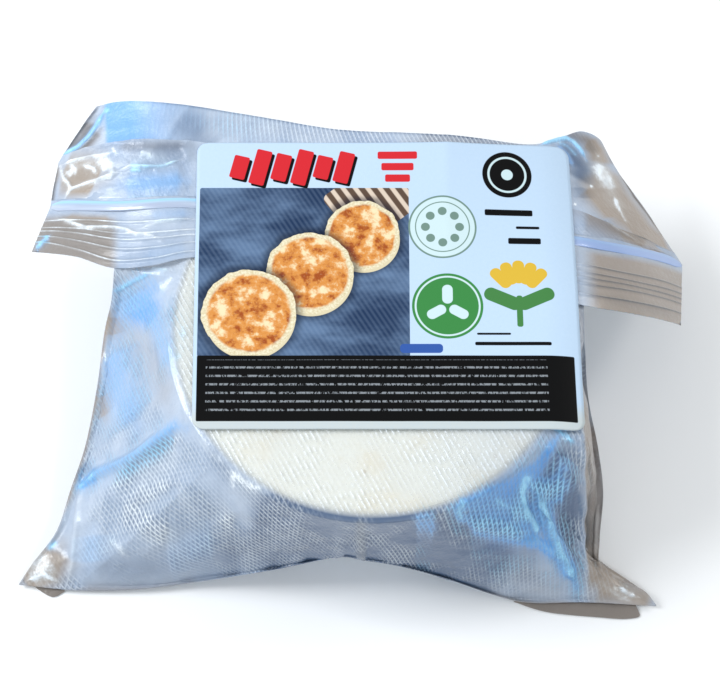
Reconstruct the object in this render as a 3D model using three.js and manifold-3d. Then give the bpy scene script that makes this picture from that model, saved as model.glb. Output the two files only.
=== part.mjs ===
// A clear zip-top bag lying flat, filled with a leaning stack of round corn arepas,
// with a paper label stuck across its top. The bag and what it holds are one solid,
// and the label is a second one. Millimetres, +Z up, standing on z = 0.
import * as THREE from 'three';
import { mergeVertices } from 'three/addons/utils/BufferGeometryUtils.js';
import Module from 'manifold-3d';

// The stack of arepas. Each layer lies a little in front of the one below it.
const AREPA_COUNT = 6;
const AREPA_THICKNESS = 8;
const AREPA_RADIUS = 54;
const STACK_LEAN = 9;

// The film lies just off the food.
const FILM_GAP = 0.6;
const TOP_Z = AREPA_COUNT * AREPA_THICKNESS + FILM_GAP;
const RIM_ROUNDING = 1.2;
const RIM_SHARPNESS = 24;
const SEAM_HALF_THICKNESS = 0.5;
const SEAM_WIDTH = 4;
const PLEAT_COUNT = 23;
const PLEAT_DEPTH = 0.7;
const PLEAT_SPAN = 20;
const FLOOR_CLEARANCE = 0.4;

// How the film falls to the seam, as [direction in degrees, power]. Above 1 it drops
// at once and runs out flat, and below 1 it stands full and drops late.
const FALLS = [
  [164, 1.1], [180, 0.9], [205, 1.1], [215, 1.6], [222, 1.15], [300, 1.15], [311, 1.9],
  [318, 1.4], [325, 0.4], [362, 0.35], [376, 1.15], [524, 1.1],
];
const UNDER_FALL = 1.15;
const SLOPE_SHARE = 0.6;

// The zip sheet: ribbed band, track and lip, which lie flat across the stack.
const SHEET_RAISE = 0.15;
const SHEET_THICKNESS = 1.1;
const RIB_COUNT = 5;
const RIB_HEIGHT = 0.35;
const RIBBED_SHARE = 0.8;
const TRACK_HEIGHT = 1.1;
const TRACK_SHARES = [0.92, 1.12];

// The label is a sheet label with rounded corners.
const LABEL_WIDTH = 101.6;
const LABEL_LENGTH = 83;
const LABEL_CENTRE_X = 3.5;
const LABEL_CENTRE_Y = 12.3;
const LABEL_CORNER = 3;
const LABEL_THICKNESS = 0.3;
const LABEL_GAP = 0.35;

// Where the film droops beside the stack: start of each droop and its steepness.
const LEFT_DROOP = { start: -50, rate: 0.012 };
const RIGHT_DROOP = { start: 45, rate: 0.018 };
const BACK_DROOP = { startX: 20, startY: 10, rate: 0.005 };

// The pillow's edge, seen as four runs of [x, y, z], going round anticlockwise.
const BOTTOM_SEAM = [
  [-95.5, -55.5, 1.5], [-81, -57, 1.5], [-64, -57, 2], [-47, -55.5, 4], [-27, -55, 12],
  [-8, -54.8, 22], [-3, -56, 23], [7, -56.7, 20], [19.5, -57, 11], [40, -60.5, 2],
  [57, -60.5, 1.5], [76.5, -61.6, 1.5],
];
const RIGHT_SEAM = [
  [76.5, -61.6, 1.5], [73, -58, 3.5], [66, -55.2, 4.5], [61.3, -52.5, 6], [61.1, -45, 8.5],
  [62, -34, 14], [60.5, -24, 21], [57.5, -12, 30], [56, 7.3, 45.4],
];
const BACK_FOLD = [
  [56, 7.3, 45.4], [56, 26, 30], [40, 51, 20], [0, 66, 17], [-40, 55, 20],
  [-62, 36, 30], [-69.2, 19.5, 43.4],
];
const LEFT_SEAM = [
  [-69.2, 19.5, 43.4], [-70.3, 14, 34], [-72.3, 8, 28], [-74.5, -7, 22], [-77.7, -21.5, 16],
  [-81.5, -31.5, 11], [-85.5, -42, 6], [-92, -50, 2.5], [-95.5, -55.5, 1.5],
];

// The film reaches each run from the stretch of the stack's rim between two directions.
const EDGE_RUNS = [
  { corners: BOTTOM_SEAM, from: 215, to: 309, steps: 36 },
  { corners: RIGHT_SEAM, from: 309, to: 367, steps: 30 },
  { corners: BACK_FOLD, from: 367, to: 524, steps: 28 },
  { corners: LEFT_SEAM, from: 524, to: 575, steps: 24 },
];

// The sheet's lines across the bag, from left to right, in plan: [x, y].
const BAND_EDGE = [
  [-93, 31.5], [-80, 25], [-69, 19], [-59, 18], [-48, 20], [0, 17], [56, 7], [67, 8],
  [76, 10], [84, 12.5],
];
const TRACK_LINE = [[-88, 43], [-68, 37], [-48, 36], [0, 33], [54, 27], [67, 28.5], [86, 35]];
const LIP_FOLD = [[-86, 55.5], [-66, 53], [-48, 50], [0, 46], [50, 43], [64, 43], [77.5, 44]];
const LIP_EDGE = [
  [-74, 68], [-70.5, 69], [-58, 66.5], [-44, 64.3], [-26, 61], [-8, 57.8], [9, 57],
  [26, 56.4], [44, 56.3], [51, 59.5], [58, 64], [62.5, 63.2], [65, 57.5],
];
const SHEET_COLUMNS = 46;
const BAND_ROWS = 15;
const LIP_ROWS = 7;

const LABEL_COLUMNS = 18;
const LABEL_ROWS = 16;

// Height of the film's upper side over the stack, with its droops beside it.
function topHeight(x, y) {
  const left = Math.max(0, LEFT_DROOP.start - x);
  const right = Math.max(0, x - RIGHT_DROOP.start);
  const across = Math.max(0, x - BACK_DROOP.startX);
  const behind = Math.max(0, y - BACK_DROOP.startY);
  const droop = LEFT_DROOP.rate * left ** 2 + RIGHT_DROOP.rate * right ** 2;
  return TOP_Z - droop - BACK_DROOP.rate * across * behind;
}

// How far the flat top reaches from the stack's axis: the arepa's rim, or the
// label's lower right part where it juts out past that rim.
function plateauRadius(angle) {
  const right = LABEL_CENTRE_X + LABEL_WIDTH / 2;
  const low = LABEL_CENTRE_Y - LABEL_LENGTH / 2;
  const x = Math.cos(angle);
  const y = Math.sin(angle);
  const rim = AREPA_RADIUS + FILM_GAP;
  if (x <= 0 || y > 0.1) {
    return rim;
  }
  const toRight = right / x;
  const toLow = y < 0 ? low / y : Infinity;
  return Math.max(rim, Math.min(toRight, toLow) - 1);
}

function curveThrough(points) {
  const corners = points.map(([x, y, z = 0]) => new THREE.Vector3(x, y, z));
  return new THREE.CatmullRomCurve3(corners, false, 'centripetal');
}

// The whole edge of the pillow as a closed ring of points, each with the direction in
// which its film leaves the stack.
function pillowEdge() {
  const edge = [];
  for (const { corners, from, to, steps } of EDGE_RUNS) {
    const curve = curveThrough(corners);
    for (let step = 0; step < steps; step += 1) {
      const degrees = THREE.MathUtils.lerp(from, to, step / steps);
      edge.push({ point: curve.getPointAt(step / steps), degrees });
    }
  }
  return edge;
}

function plateauPoint({ degrees }, share) {
  const angle = THREE.MathUtils.degToRad(degrees);
  const radius = plateauRadius(angle) * share;
  const x = radius * Math.cos(angle);
  const y = radius * Math.sin(angle);
  const rounding = RIM_ROUNDING * share ** RIM_SHARPNESS;
  return new THREE.Vector3(x, y, topHeight(x, y) - rounding);
}

function basePoint({ degrees }, share) {
  const angle = THREE.MathUtils.degToRad(degrees);
  const radius = AREPA_RADIUS * share;
  return new THREE.Vector3(radius * Math.cos(angle), STACK_LEAN + radius * Math.sin(angle), 0);
}

// The power by which the film falls where it leaves the stack in that direction.
function fallPower(degrees) {
  const turned = degrees > FALLS.at(-1)[0] ? degrees - 360 : degrees;
  const next = Math.max(1, FALLS.findIndex(([direction]) => direction >= turned));
  const [start, low] = FALLS[next - 1];
  const [end, high] = FALLS[next];
  return THREE.MathUtils.mapLinear(turned, start, end, low, high);
}

// A point on the film between the stack (t = 0) and the seam (t = 1), which falls
// to the seam's height and runs flat over the seam's own width.
function filmPoint(from, { point: to, degrees }, t, side) {
  const span = Math.hypot(to.x - from.x, to.y - from.y);
  const slopeEnd = Math.max(SLOPE_SHARE, 1 - SEAM_WIDTH / Math.max(span, SEAM_WIDTH));
  const down = Math.min(1, t / slopeEnd);
  const power = side > 0 ? fallPower(degrees) : UNDER_FALL;
  const fall = power >= 1 ? (1 - down) ** power : 1 - down ** (1 / power);
  const slack = Math.min(1, span / PLEAT_SPAN) * Math.sin(Math.PI * t);
  const pleat = PLEAT_DEPTH * slack * Math.sin(PLEAT_COUNT * THREE.MathUtils.degToRad(degrees));
  const seamZ = to.z + side * SEAM_HALF_THICKNESS;
  const point = new THREE.Vector3().lerpVectors(from, to, t);
  point.z = Math.max(FLOOR_CLEARANCE, seamZ + (from.z - seamZ) * fall + pleat);
  return point;
}

// A closed body from rings of equal length, closed by a point at each end.
function loftRings(first, rings, last) {
  const size = rings[0].length;
  const positions = [first, ...rings.flat(), last].flatMap((point) => point.toArray());
  const triangles = [];
  const lastIndex = rings.length * size + 1;
  for (let i = 0; i < size; i += 1) {
    const next = (i + 1) % size;
    triangles.push(0, 1 + i, 1 + next);
    for (let ring = 0; ring < rings.length - 1; ring += 1) {
      const inner = 1 + ring * size;
      const outer = inner + size;
      triangles.push(inner + i, outer + i, outer + next, inner + i, outer + next, inner + next);
    }
    const rim = 1 + (rings.length - 1) * size;
    triangles.push(rim + i, lastIndex, rim + next);
  }
  return indexedGeometry(positions, triangles);
}

function indexedGeometry(positions, triangles) {
  const geometry = new THREE.BufferGeometry();
  geometry.setAttribute('position', new THREE.Float32BufferAttribute(positions, 3));
  geometry.setIndex(triangles);
  return geometry;
}

// The filled pillow: flat top, films sloping to the seam, and a flat base.
function pillowGeometry() {
  const edge = pillowEdge();
  const topShares = [0.35, 0.65, 0.86, 0.96, 1];
  const slopeSteps = [0.12, 0.25, 0.4, 0.55, 0.7, 0.8, 0.9];
  const rings = topShares.map((share) => edge.map((place) => plateauPoint(place, share)));
  for (const t of slopeSteps) {
    rings.push(edge.map((place) => filmPoint(plateauPoint(place, 1), place, t, 1)));
  }
  for (const side of [1, -1]) {
    const raise = new THREE.Vector3(0, 0, side * SEAM_HALF_THICKNESS);
    rings.push(edge.map(({ point }) => point.clone().add(raise)));
  }
  for (const t of [0.8, 0.6, 0.4, 0.2]) {
    rings.push(edge.map((place) => filmPoint(basePoint(place, 1), place, t, -1)));
  }
  for (const share of [1, 0.5]) {
    rings.push(edge.map((place) => basePoint(place, share)));
  }
  const topCentre = new THREE.Vector3(0, 0, TOP_Z);
  const baseCentre = new THREE.Vector3(0, STACK_LEAN, 0);
  return loftRings(topCentre, rings, baseCentre);
}

// A closed plate from two grids of points, one above the other.
function plateGeometry(upper, lower) {
  const rows = upper.length;
  const columns = upper[0].length;
  const count = rows * columns;
  const positions = [...upper.flat(), ...lower.flat()].flatMap((point) => point.toArray());
  const triangles = [];
  const quad = (a, b, c, d) => triangles.push(a, b, c, a, c, d);
  const at = (row, column) => row * columns + column;
  for (let row = 0; row < rows - 1; row += 1) {
    for (let column = 0; column < columns - 1; column += 1) {
      const a = at(row, column);
      const b = at(row, column + 1);
      const c = at(row + 1, column + 1);
      const d = at(row + 1, column);
      quad(a, b, c, d);
      quad(a + count, d + count, c + count, b + count);
    }
  }
  for (let column = 0; column < columns - 1; column += 1) {
    const front = at(0, column);
    const back = at(rows - 1, column);
    quad(front, front + count, front + 1 + count, front + 1);
    quad(back, back + 1, back + 1 + count, back + count);
  }
  for (let row = 0; row < rows - 1; row += 1) {
    const left = at(row, 0);
    const right = at(row, columns - 1);
    quad(left, left + columns, left + columns + count, left + count);
    quad(right, right + count, right + columns + count, right + columns);
  }
  return indexedGeometry(positions, triangles);
}

// Height that the ribs and the zip track add across the sheet. Row 0 is the band's
// edge, 1 the track and 2 the lip's free edge.
function sheetRelief(across) {
  const [trackStart, trackEnd] = TRACK_SHARES;
  if (across > trackStart && across < trackEnd) {
    return TRACK_HEIGHT;
  }
  if (across < RIBBED_SHARE) {
    const turns = RIB_COUNT * across / RIBBED_SHARE;
    return RIB_HEIGHT * Math.max(0, Math.sin(2 * Math.PI * turns));
  }
  return 0;
}

// Places across the sheet: the band, the track's two edges, and the lip.
function sheetRows() {
  const rows = [];
  for (let row = 0; row <= BAND_ROWS; row += 1) {
    rows.push(row / BAND_ROWS);
  }
  const trackEnd = TRACK_SHARES[1];
  rows.push((1 + trackEnd) / 2, trackEnd);
  for (let row = 0; row <= LIP_ROWS; row += 1) {
    rows.push(THREE.MathUtils.lerp(trackEnd + 0.01, 2, row / LIP_ROWS));
  }
  return rows;
}

// Ribbed band, zip track and lip as one thin sheet lying over the stack.
function sheetGeometry() {
  const lines = [BAND_EDGE, TRACK_LINE, LIP_FOLD, LIP_EDGE].map(curveThrough);
  const pointAt = (across, along) => {
    const place = across <= 1 ? across : 1 + 2 * (across - 1);
    const line = Math.min(Math.floor(place), lines.length - 2);
    const start = lines[line].getPointAt(along);
    return start.lerp(lines[line + 1].getPointAt(along), place - line);
  };
  const upper = [];
  const lower = [];
  for (const across of sheetRows()) {
    const top = [];
    const under = [];
    for (let column = 0; column <= SHEET_COLUMNS; column += 1) {
      const point = pointAt(across, column / SHEET_COLUMNS);
      const z = topHeight(point.x, point.y) + SHEET_RAISE;
      const covered = Math.abs(point.x - LABEL_CENTRE_X) < LABEL_WIDTH / 2 + 2;
      const relief = covered ? 0 : sheetRelief(across);
      top.push(new THREE.Vector3(point.x, point.y, z + relief));
      under.push(new THREE.Vector3(point.x, point.y, z - SHEET_THICKNESS));
    }
    upper.push(top);
    lower.push(under);
  }
  return plateGeometry(upper, lower);
}

// Place of a grid line between -half and half: two lines share each rounded corner,
// and the others are spread evenly between the corners.
function spread(index, count, half) {
  const firstStep = LABEL_CORNER * (1 - Math.SQRT1_2);
  const fromEnd = Math.min(index, count - index);
  const side = index < count / 2 ? -1 : 1;
  if (fromEnd === 0) {
    return side * half;
  }
  if (fromEnd === 1) {
    return side * (half - firstStep);
  }
  const flat = half - LABEL_CORNER;
  return THREE.MathUtils.mapLinear(index, 2, count - 2, -flat, flat);
}

// Rounded-corner label, bent over the film that it is stuck to.
function labelGeometry() {
  const upper = [];
  const lower = [];
  const halfWidth = LABEL_WIDTH / 2;
  const halfLength = LABEL_LENGTH / 2;
  const flatLength = halfLength - LABEL_CORNER;
  for (let row = 0; row <= LABEL_ROWS; row += 1) {
    const y = spread(row, LABEL_ROWS, halfLength);
    const overCorner = Math.max(0, Math.abs(y) - flatLength);
    const inset = LABEL_CORNER - Math.sqrt(LABEL_CORNER ** 2 - overCorner ** 2);
    const top = [];
    const under = [];
    for (let column = 0; column <= LABEL_COLUMNS; column += 1) {
      const share = spread(column, LABEL_COLUMNS, halfWidth) / halfWidth;
      const x = LABEL_CENTRE_X + share * (halfWidth - inset);
      const z = topHeight(x, LABEL_CENTRE_Y + y) + SHEET_RAISE + LABEL_GAP;
      top.push(new THREE.Vector3(x, LABEL_CENTRE_Y + y, z + LABEL_THICKNESS));
      under.push(new THREE.Vector3(x, LABEL_CENTRE_Y + y, z));
    }
    upper.push(top);
    lower.push(under);
  }
  return plateGeometry(upper, lower);
}

function toSolid(wasm, geometry) {
  const merged = mergeVertices(geometry);
  const vertProperties = new Float32Array(merged.getAttribute('position').array);
  const triVerts = new Uint32Array(merged.getIndex().array);
  return new wasm.Manifold(new wasm.Mesh({ numProp: 3, vertProperties, triVerts }));
}

async function joinedGeometry(first, second) {
  const wasm = await Module();
  wasm.setup();
  const joined = toSolid(wasm, first).add(toSolid(wasm, second)).getMesh();
  return indexedGeometry([...joined.vertProperties], [...joined.triVerts]);
}

const filmMaterial = new THREE.MeshStandardMaterial({
  color: 0xbfcadb,
  roughness: 0.2,
  metalness: 0,
});
const labelMaterial = new THREE.MeshStandardMaterial({
  color: 0xe4eef8,
  roughness: 0.55,
  metalness: 0,
});

const bag = new THREE.Mesh(await joinedGeometry(pillowGeometry(), sheetGeometry()), filmMaterial);
bag.name = 'bag';
const label = new THREE.Mesh(labelGeometry(), labelMaterial);
label.name = 'label';

// The origin goes to the middle of the bounding box, at the surface it lies on.
const pack = new THREE.Group();
pack.add(bag, label);
const middle = new THREE.Box3().setFromObject(pack).getCenter(new THREE.Vector3());
pack.position.set(-middle.x, -middle.y, 0);

export default pack;
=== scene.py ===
"""A clear zip-top bag of corn arepas under a printed label, on a studio floor.

Shapes are worked out in millimetres from the stack's axis and its floor, and are placed
in the frame, in metres, by placed().
"""
import math
from typing import NamedTuple

import bmesh
import bpy
import numpy as np
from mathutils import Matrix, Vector, noise


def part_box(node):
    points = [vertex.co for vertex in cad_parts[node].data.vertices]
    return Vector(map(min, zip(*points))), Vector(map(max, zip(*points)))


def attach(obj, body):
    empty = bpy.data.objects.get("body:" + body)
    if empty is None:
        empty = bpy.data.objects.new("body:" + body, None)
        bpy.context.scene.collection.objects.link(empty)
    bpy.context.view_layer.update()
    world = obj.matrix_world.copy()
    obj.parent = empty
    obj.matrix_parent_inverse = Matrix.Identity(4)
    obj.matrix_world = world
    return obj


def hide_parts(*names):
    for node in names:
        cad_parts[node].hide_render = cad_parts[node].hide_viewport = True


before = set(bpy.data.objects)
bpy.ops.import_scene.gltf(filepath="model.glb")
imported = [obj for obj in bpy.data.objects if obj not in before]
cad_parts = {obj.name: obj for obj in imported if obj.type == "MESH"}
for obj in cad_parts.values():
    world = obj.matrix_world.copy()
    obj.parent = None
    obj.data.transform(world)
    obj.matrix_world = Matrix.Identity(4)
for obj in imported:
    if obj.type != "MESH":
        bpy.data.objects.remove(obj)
bpy.context.view_layer.update()

bl_info = {
    "name": "Bag of Arepas",
    "version": (1, 0, 0),
    "blender": (4, 5, 0),
    "location": "View3D > Sidebar > Arepas",
    "description": "Adds a zip-top bag of corn arepas with its label and a studio stage",
    "category": "Add Mesh",
}

MM = 0.001

# The label's centre from the stack's axis gives that axis in the frame.
LABEL_CENTRE = Vector((3.5, 12.3))
LABEL_LOW, LABEL_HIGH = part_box("label")
STACK_AXIS = (LABEL_LOW + LABEL_HIGH).xy / (2 * MM) - LABEL_CENTRE

# The stack: its top, and how far its lowest arepa lies behind the top one.
AREPA_RADIUS = 54.0
AREPA_THICKNESS = 8.0
AREPA_COUNT = 6
STACK_LEAN = 9.0
FILM_GAP = 0.6
TOP_Z = AREPA_COUNT * AREPA_THICKNESS + FILM_GAP

# Heights over the film's flat top.
SHEET_RAISE = 0.15
LABEL_RAISE = 0.5

# Where the film droops beside the stack: start of each droop and its steepness.
LEFT_DROOP = (-50.0, 0.012)
RIGHT_DROOP = (45.0, 0.018)
BACK_DROOP = (20.0, 10.0, 0.005)  # start to the right, start at the back, steepness

# The pillow's edge, seen as four runs going round anticlockwise from the left tip.
BOTTOM_SEAM = (
    (-95.5, -55.5, 1.5), (-81, -57, 1.5), (-64, -57, 2), (-47, -55.5, 4), (-27, -55, 12),
    (-8, -54.8, 22), (-3, -56, 23), (7, -56.7, 20), (19.5, -57, 11), (40, -60.5, 2),
    (57, -60.5, 1.5), (76.5, -61.6, 1.5),
)
RIGHT_SEAM = (
    (76.5, -61.6, 1.5), (73, -58, 3.5), (66, -55.2, 4.5), (61.3, -52.5, 6), (61.1, -45, 8.5),
    (62, -34, 14), (60.5, -24, 21), (57.5, -12, 30), (56, 7.3, 45.4),
)
BACK_FOLD = (
    (56, 7.3, 45.4), (56, 26, 30), (40, 51, 20), (0, 66, 17), (-40, 55, 20),
    (-62, 36, 30), (-69.2, 19.5, 43.4),
)
LEFT_SEAM = (
    (-69.2, 19.5, 43.4), (-70.3, 14, 34), (-72.3, 8, 28), (-74.5, -7, 22), (-77.7, -21.5, 16),
    (-81.5, -31.5, 11), (-85.5, -42, 6), (-92, -50, 2.5), (-95.5, -55.5, 1.5),
)

# Each run, the stretch of the stack's rim that its film comes from, as two directions
# in degrees, and its share of the film's columns.
EDGE_RUNS = (
    (BOTTOM_SEAM, 215, 309, 0.32), (RIGHT_SEAM, 309, 367, 0.21),
    (BACK_FOLD, 367, 524, 0.25), (LEFT_SEAM, 524, 575, 0.22),
)
SEAM_HALF_THICKNESS = 0.25
SEAM_WIDTH = 2.5

# How the film falls to the edge, as (direction in degrees, power). Above 1 it drops at
# once and runs out flat, and below 1 it stands full and drops late.
FALLS = (
    (164, 1.1), (180, 0.9), (205, 1.1), (215, 1.6), (222, 1.15), (300, 1.15), (311, 1.9),
    (318, 1.4), (325, 0.4), (362, 0.35), (376, 1.15), (524, 1.1),
)
UNDER_FALL = 1.15
SLOPE_SHARE = 0.6

# Two small flaps of film that lie out from under the tips: outer and inner edge of each.
TIP_FLAPS = (
    (((38, -60), (46, -62.7), (60, -64.3), (68.6, -64.8), (72, -64), (71.6, -62.6)),
     ((38, -60), (46, -59), (56, -58.5), (64, -58.5), (70, -60), (71.6, -62.6))),
    (((-91, -56), (-87.6, -58.2), (-86, -58.6), (-83, -57)),
     ((-91, -56), (-88, -54), (-85, -54), (-83, -57))),
)

# The zip sheet's lines across the bag, from left to right.
BAND_EDGE = (
    (-93, 31.5), (-80, 25), (-69, 19), (-59, 18), (-48, 20), (0, 17), (56, 7), (67, 8),
    (76, 10), (84, 12.5),
)
TRACK_LINE = ((-88, 43), (-68, 37), (-48, 36), (0, 33), (54, 27), (67, 28.5), (86, 35))
LIP_FOLD = ((-86, 55.5), (-66, 53), (-48, 50), (0, 46), (50, 43), (64, 43), (77.5, 44))
LIP_EDGE = (
    (-75.5, 69), (-70.5, 69), (-58, 66.5), (-44, 64.3), (-26, 61), (-8, 57.8), (9, 57),
    (26, 56.4), (44, 56.3), (51, 59.5), (58, 64), (62.5, 63.2), (65, 57.5),
)

# The band's ribs: their places across it, at its left end and at its right end.
RIBS = ((0.1, 0.18), (0.28, 0.34), (0.44, 0.42), (0.54, 0.5), (0.75, 0.6))

# Where each lip starts across the sheet, and how far it reaches by the share of the way
# along it.
BACK_LIP_START = 1.02
BACK_LIP_REACH = ((0, 2), (1, 2))
FRONT_LIP_START = 1.07
FRONT_LIP_REACH = (
    (0, 1.56), (0.1, 1.6), (0.23, 1.65), (0.72, 1.6), (0.79, 1.36), (0.85, 1.3), (0.9, 1.22),
    (0.95, 1.18), (1, 1.13),
)
FRONT_LIP_CRUMPLE = 0.8

# The camera's centre line passes this far right of and above the top's middle.
CAMERA_OFFSET = (-3.43, -2.51)


def srgb(red, green, blue):
    """A linear colour from 0 to 255 display values."""
    return tuple((value / 255) ** 2.2 for value in (red, green, blue))


class StackSettings(bpy.types.PropertyGroup):
    """Sizes and colours of the arepas"""
    unevenness: bpy.props.FloatProperty(
        name="Unevenness", description="How far an arepa's rim strays from a true circle",
        default=0.5 * MM, min=0, unit="LENGTH",
    )
    crumb: bpy.props.FloatVectorProperty(
        name="Crumb", description="Colour of the cooked corn dough",
        default=srgb(218, 219, 211), subtype="COLOR", min=0, max=1,
    )
    crust: bpy.props.FloatVectorProperty(
        name="Crust", description="Colour of the faint patches on the dough",
        default=srgb(214, 204, 180), subtype="COLOR", min=0, max=1,
    )


class FilmSettings(bpy.types.PropertyGroup):
    """Colours, clearness and embossing of the film"""
    tint: bpy.props.FloatVectorProperty(
        name="Tint", description="Colour of the slack film",
        default=srgb(180, 194, 213), subtype="COLOR", min=0, max=1,
    )
    sheen: bpy.props.FloatVectorProperty(
        name="Sheen", description="Colour of the film that catches the light",
        default=srgb(122, 174, 230), subtype="COLOR", min=0, max=1,
    )
    shade: bpy.props.FloatVectorProperty(
        name="Shade", description="What darkens the film's colour in its hollows",
        default=srgb(113, 130, 152), subtype="COLOR", min=0, max=1,
    )
    # Painted reflection: the brown of surroundings seen in and through the film, which its folds
    # lay on its colour.
    warm: bpy.props.FloatVectorProperty(
        name="Warm", description="Colour of the film where it stands off the food",
        default=srgb(164, 150, 137), subtype="COLOR", min=0, max=1,
    )
    gleam: bpy.props.FloatVectorProperty(
        name="Gleam", description="Colour of the bright crests and creases",
        default=srgb(238, 246, 252), subtype="COLOR", min=0, max=1,
    )
    cling: bpy.props.FloatProperty(
        name="Cling", description="How much the film covers where it clings to the food",
        default=0.12, min=0, max=1, subtype="FACTOR",
    )
    slack: bpy.props.FloatProperty(
        name="Slack", description="How much the film covers where it hangs slack",
        default=0.86, min=0, max=1, subtype="FACTOR",
    )
    rib_pitch: bpy.props.FloatProperty(
        name="Rib pitch", description="Distance between the film's embossed ribs",
        default=1.35 * MM, min=0.2 * MM, unit="LENGTH",
    )


class LabelSettings(bpy.types.PropertyGroup):
    """Sizes and colours of the label"""
    width: bpy.props.FloatProperty(
        name="Width", description="Width of the label",
        default=101.6 * MM, min=0.01, unit="LENGTH",
    )
    length: bpy.props.FloatProperty(
        name="Length", description="Length of the label, up the bag",
        default=83 * MM, min=0.01, unit="LENGTH",
    )
    corner: bpy.props.FloatProperty(
        name="Corner", description="Radius of the label's corners",
        default=3 * MM, min=0, unit="LENGTH",
    )
    # The paper's white with the blue cast of the daylight painted in.
    paper: bpy.props.FloatVectorProperty(
        name="Paper", description="Colour of the bare label",
        default=srgb(189, 211, 233), subtype="COLOR", min=0, max=1,
    )
    ink: bpy.props.FloatVectorProperty(
        name="Ink", description="Colour of the dark bands",
        default=srgb(4, 5, 8), subtype="COLOR", min=0, max=1,
    )
    accent: bpy.props.FloatVectorProperty(
        name="Accent", description="Colour of the heading bars",
        default=srgb(206, 44, 52), subtype="COLOR", min=0, max=1,
    )


class StageSettings(bpy.types.PropertyGroup):
    """The camera's place and the power of the lights"""
    height_angle: bpy.props.FloatProperty(
        name="Height angle", description="How far the camera looks down",
        default=math.radians(67), subtype="ANGLE",
    )
    distance: bpy.props.FloatProperty(
        name="Distance", description="From the camera to the top of the stack",
        default=0.95, min=0.1, unit="LENGTH",
    )
    lens: bpy.props.FloatProperty(
        name="Lens", description="The camera's focal length in millimetres",
        default=180.0, min=10,
    )
    key_power: bpy.props.FloatProperty(
        name="Key light", description="Power of the main soft light in watts",
        default=9.0, min=0, unit="POWER",
    )
    fill_power: bpy.props.FloatProperty(
        name="Fill light", description="Power of the low light in front in watts",
        default=2.0, min=0, unit="POWER",
    )


SETTINGS = {
    "arepa_stack": StackSettings,
    "arepa_film": FilmSettings,
    "arepa_label": LabelSettings,
    "arepa_stage": StageSettings,
}


# Shapes ---------------------------------------------------------------------------

class Fold(NamedTuple):
    """A fold, crease or streak in the film along a path in plan, and what it adds there.

    Lift is in mm and is real shape. Tone above 0 paints a blue sky reflection and below 0
    paints shade, warm paints the brown of surroundings reflected in and seen through the
    film, gleam paints highlights on crests, and comb shows embossed ribs with painted
    highlights on their crests and painted shade between them.
    """
    path: tuple
    width: float
    lift: float = 0.0
    tone: float = 0.0
    warm: float = 0.0
    gleam: float = 0.0
    comb: float = 0.0
    right_only: bool = False


# What the film's skin keeps of its folds: tone below 0, painted shade, stays in tone and tone
# above 0, painted blue reflection, becomes cool, and blue is the painted reflection that spreads
# round the cool folds and colours their highlights.
FOLD_FIELDS = ("tone", "warm", "gleam", "comb")
SKIN_FIELDS = (*FOLD_FIELDS, "cool", "blue")
GLOW_WIDTH = 2.6
GLOW_SHARE = 0.12
BLUE_SHARE = 1 / 3


class Run:
    """A smooth line through corner points, read by the share of its length."""

    STEPS = 24

    def __init__(self, corners):
        points = [Vector((*corner, 0.0)[:3]) for corner in corners]
        points = [2 * points[0] - points[1], *points, 2 * points[-1] - points[-2]]
        self.places = [points[1].copy()]
        for before, start, end, after in zip(points, points[1:], points[2:], points[3:]):
            for step in range(1, self.STEPS + 1):
                self.places.append(between(before, start, end, after, step / self.STEPS))
        self.lengths = [0.0]
        for start, end in zip(self.places, self.places[1:]):
            self.lengths.append(self.lengths[-1] + (end - start).length)

    def at(self, share):
        length = share * self.lengths[-1]
        index = int(np.searchsorted(self.lengths, length))
        index = min(max(index, 1), len(self.places) - 1)
        low, high = self.lengths[index - 1], self.lengths[index]
        part = (length - low) / max(high - low, 1e-9)
        return self.places[index - 1].lerp(self.places[index], part)


def between(before, start, end, after, share):
    """A point on the centripetal curve from start to end."""
    first = max(math.sqrt((start - before).length), 1e-6)
    middle = max(math.sqrt((end - start).length), 1e-6)
    last = max(math.sqrt((after - end).length), 1e-6)
    leave = (start - before) / first - (end - before) / (first + middle) + (end - start) / middle
    arrive = (end - start) / middle - (after - start) / (middle + last) + (after - end) / last
    leave *= middle
    arrive *= middle
    square, cube = share ** 2, share ** 3
    return (
        (2 * cube - 3 * square + 1) * start + (cube - 2 * square + share) * leave
        + (3 * square - 2 * cube) * end + (cube - square) * arrive
    )


def smooth(value, low, high):
    """0 below low, 1 above high, and eased between them."""
    share = min(max((value - low) / (high - low), 0.0), 1.0)
    return share * share * (3 - 2 * share)


def top_height(x, y):
    """Height of the film's upper side over the stack, with its droops beside it."""
    left = max(0.0, LEFT_DROOP[0] - x)
    right = max(0.0, x - RIGHT_DROOP[0])
    across = max(0.0, x - BACK_DROOP[0])
    behind = max(0.0, y - BACK_DROOP[1])
    droop = LEFT_DROOP[1] * left ** 2 + RIGHT_DROOP[1] * right ** 2
    return TOP_Z - droop - BACK_DROOP[2] * across * behind


def placed(x, y, z):
    """A point in the frame from millimetres off the stack's axis."""
    return Vector(((x + STACK_AXIS.x) * MM, (y + STACK_AXIS.y) * MM, z * MM))


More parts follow.
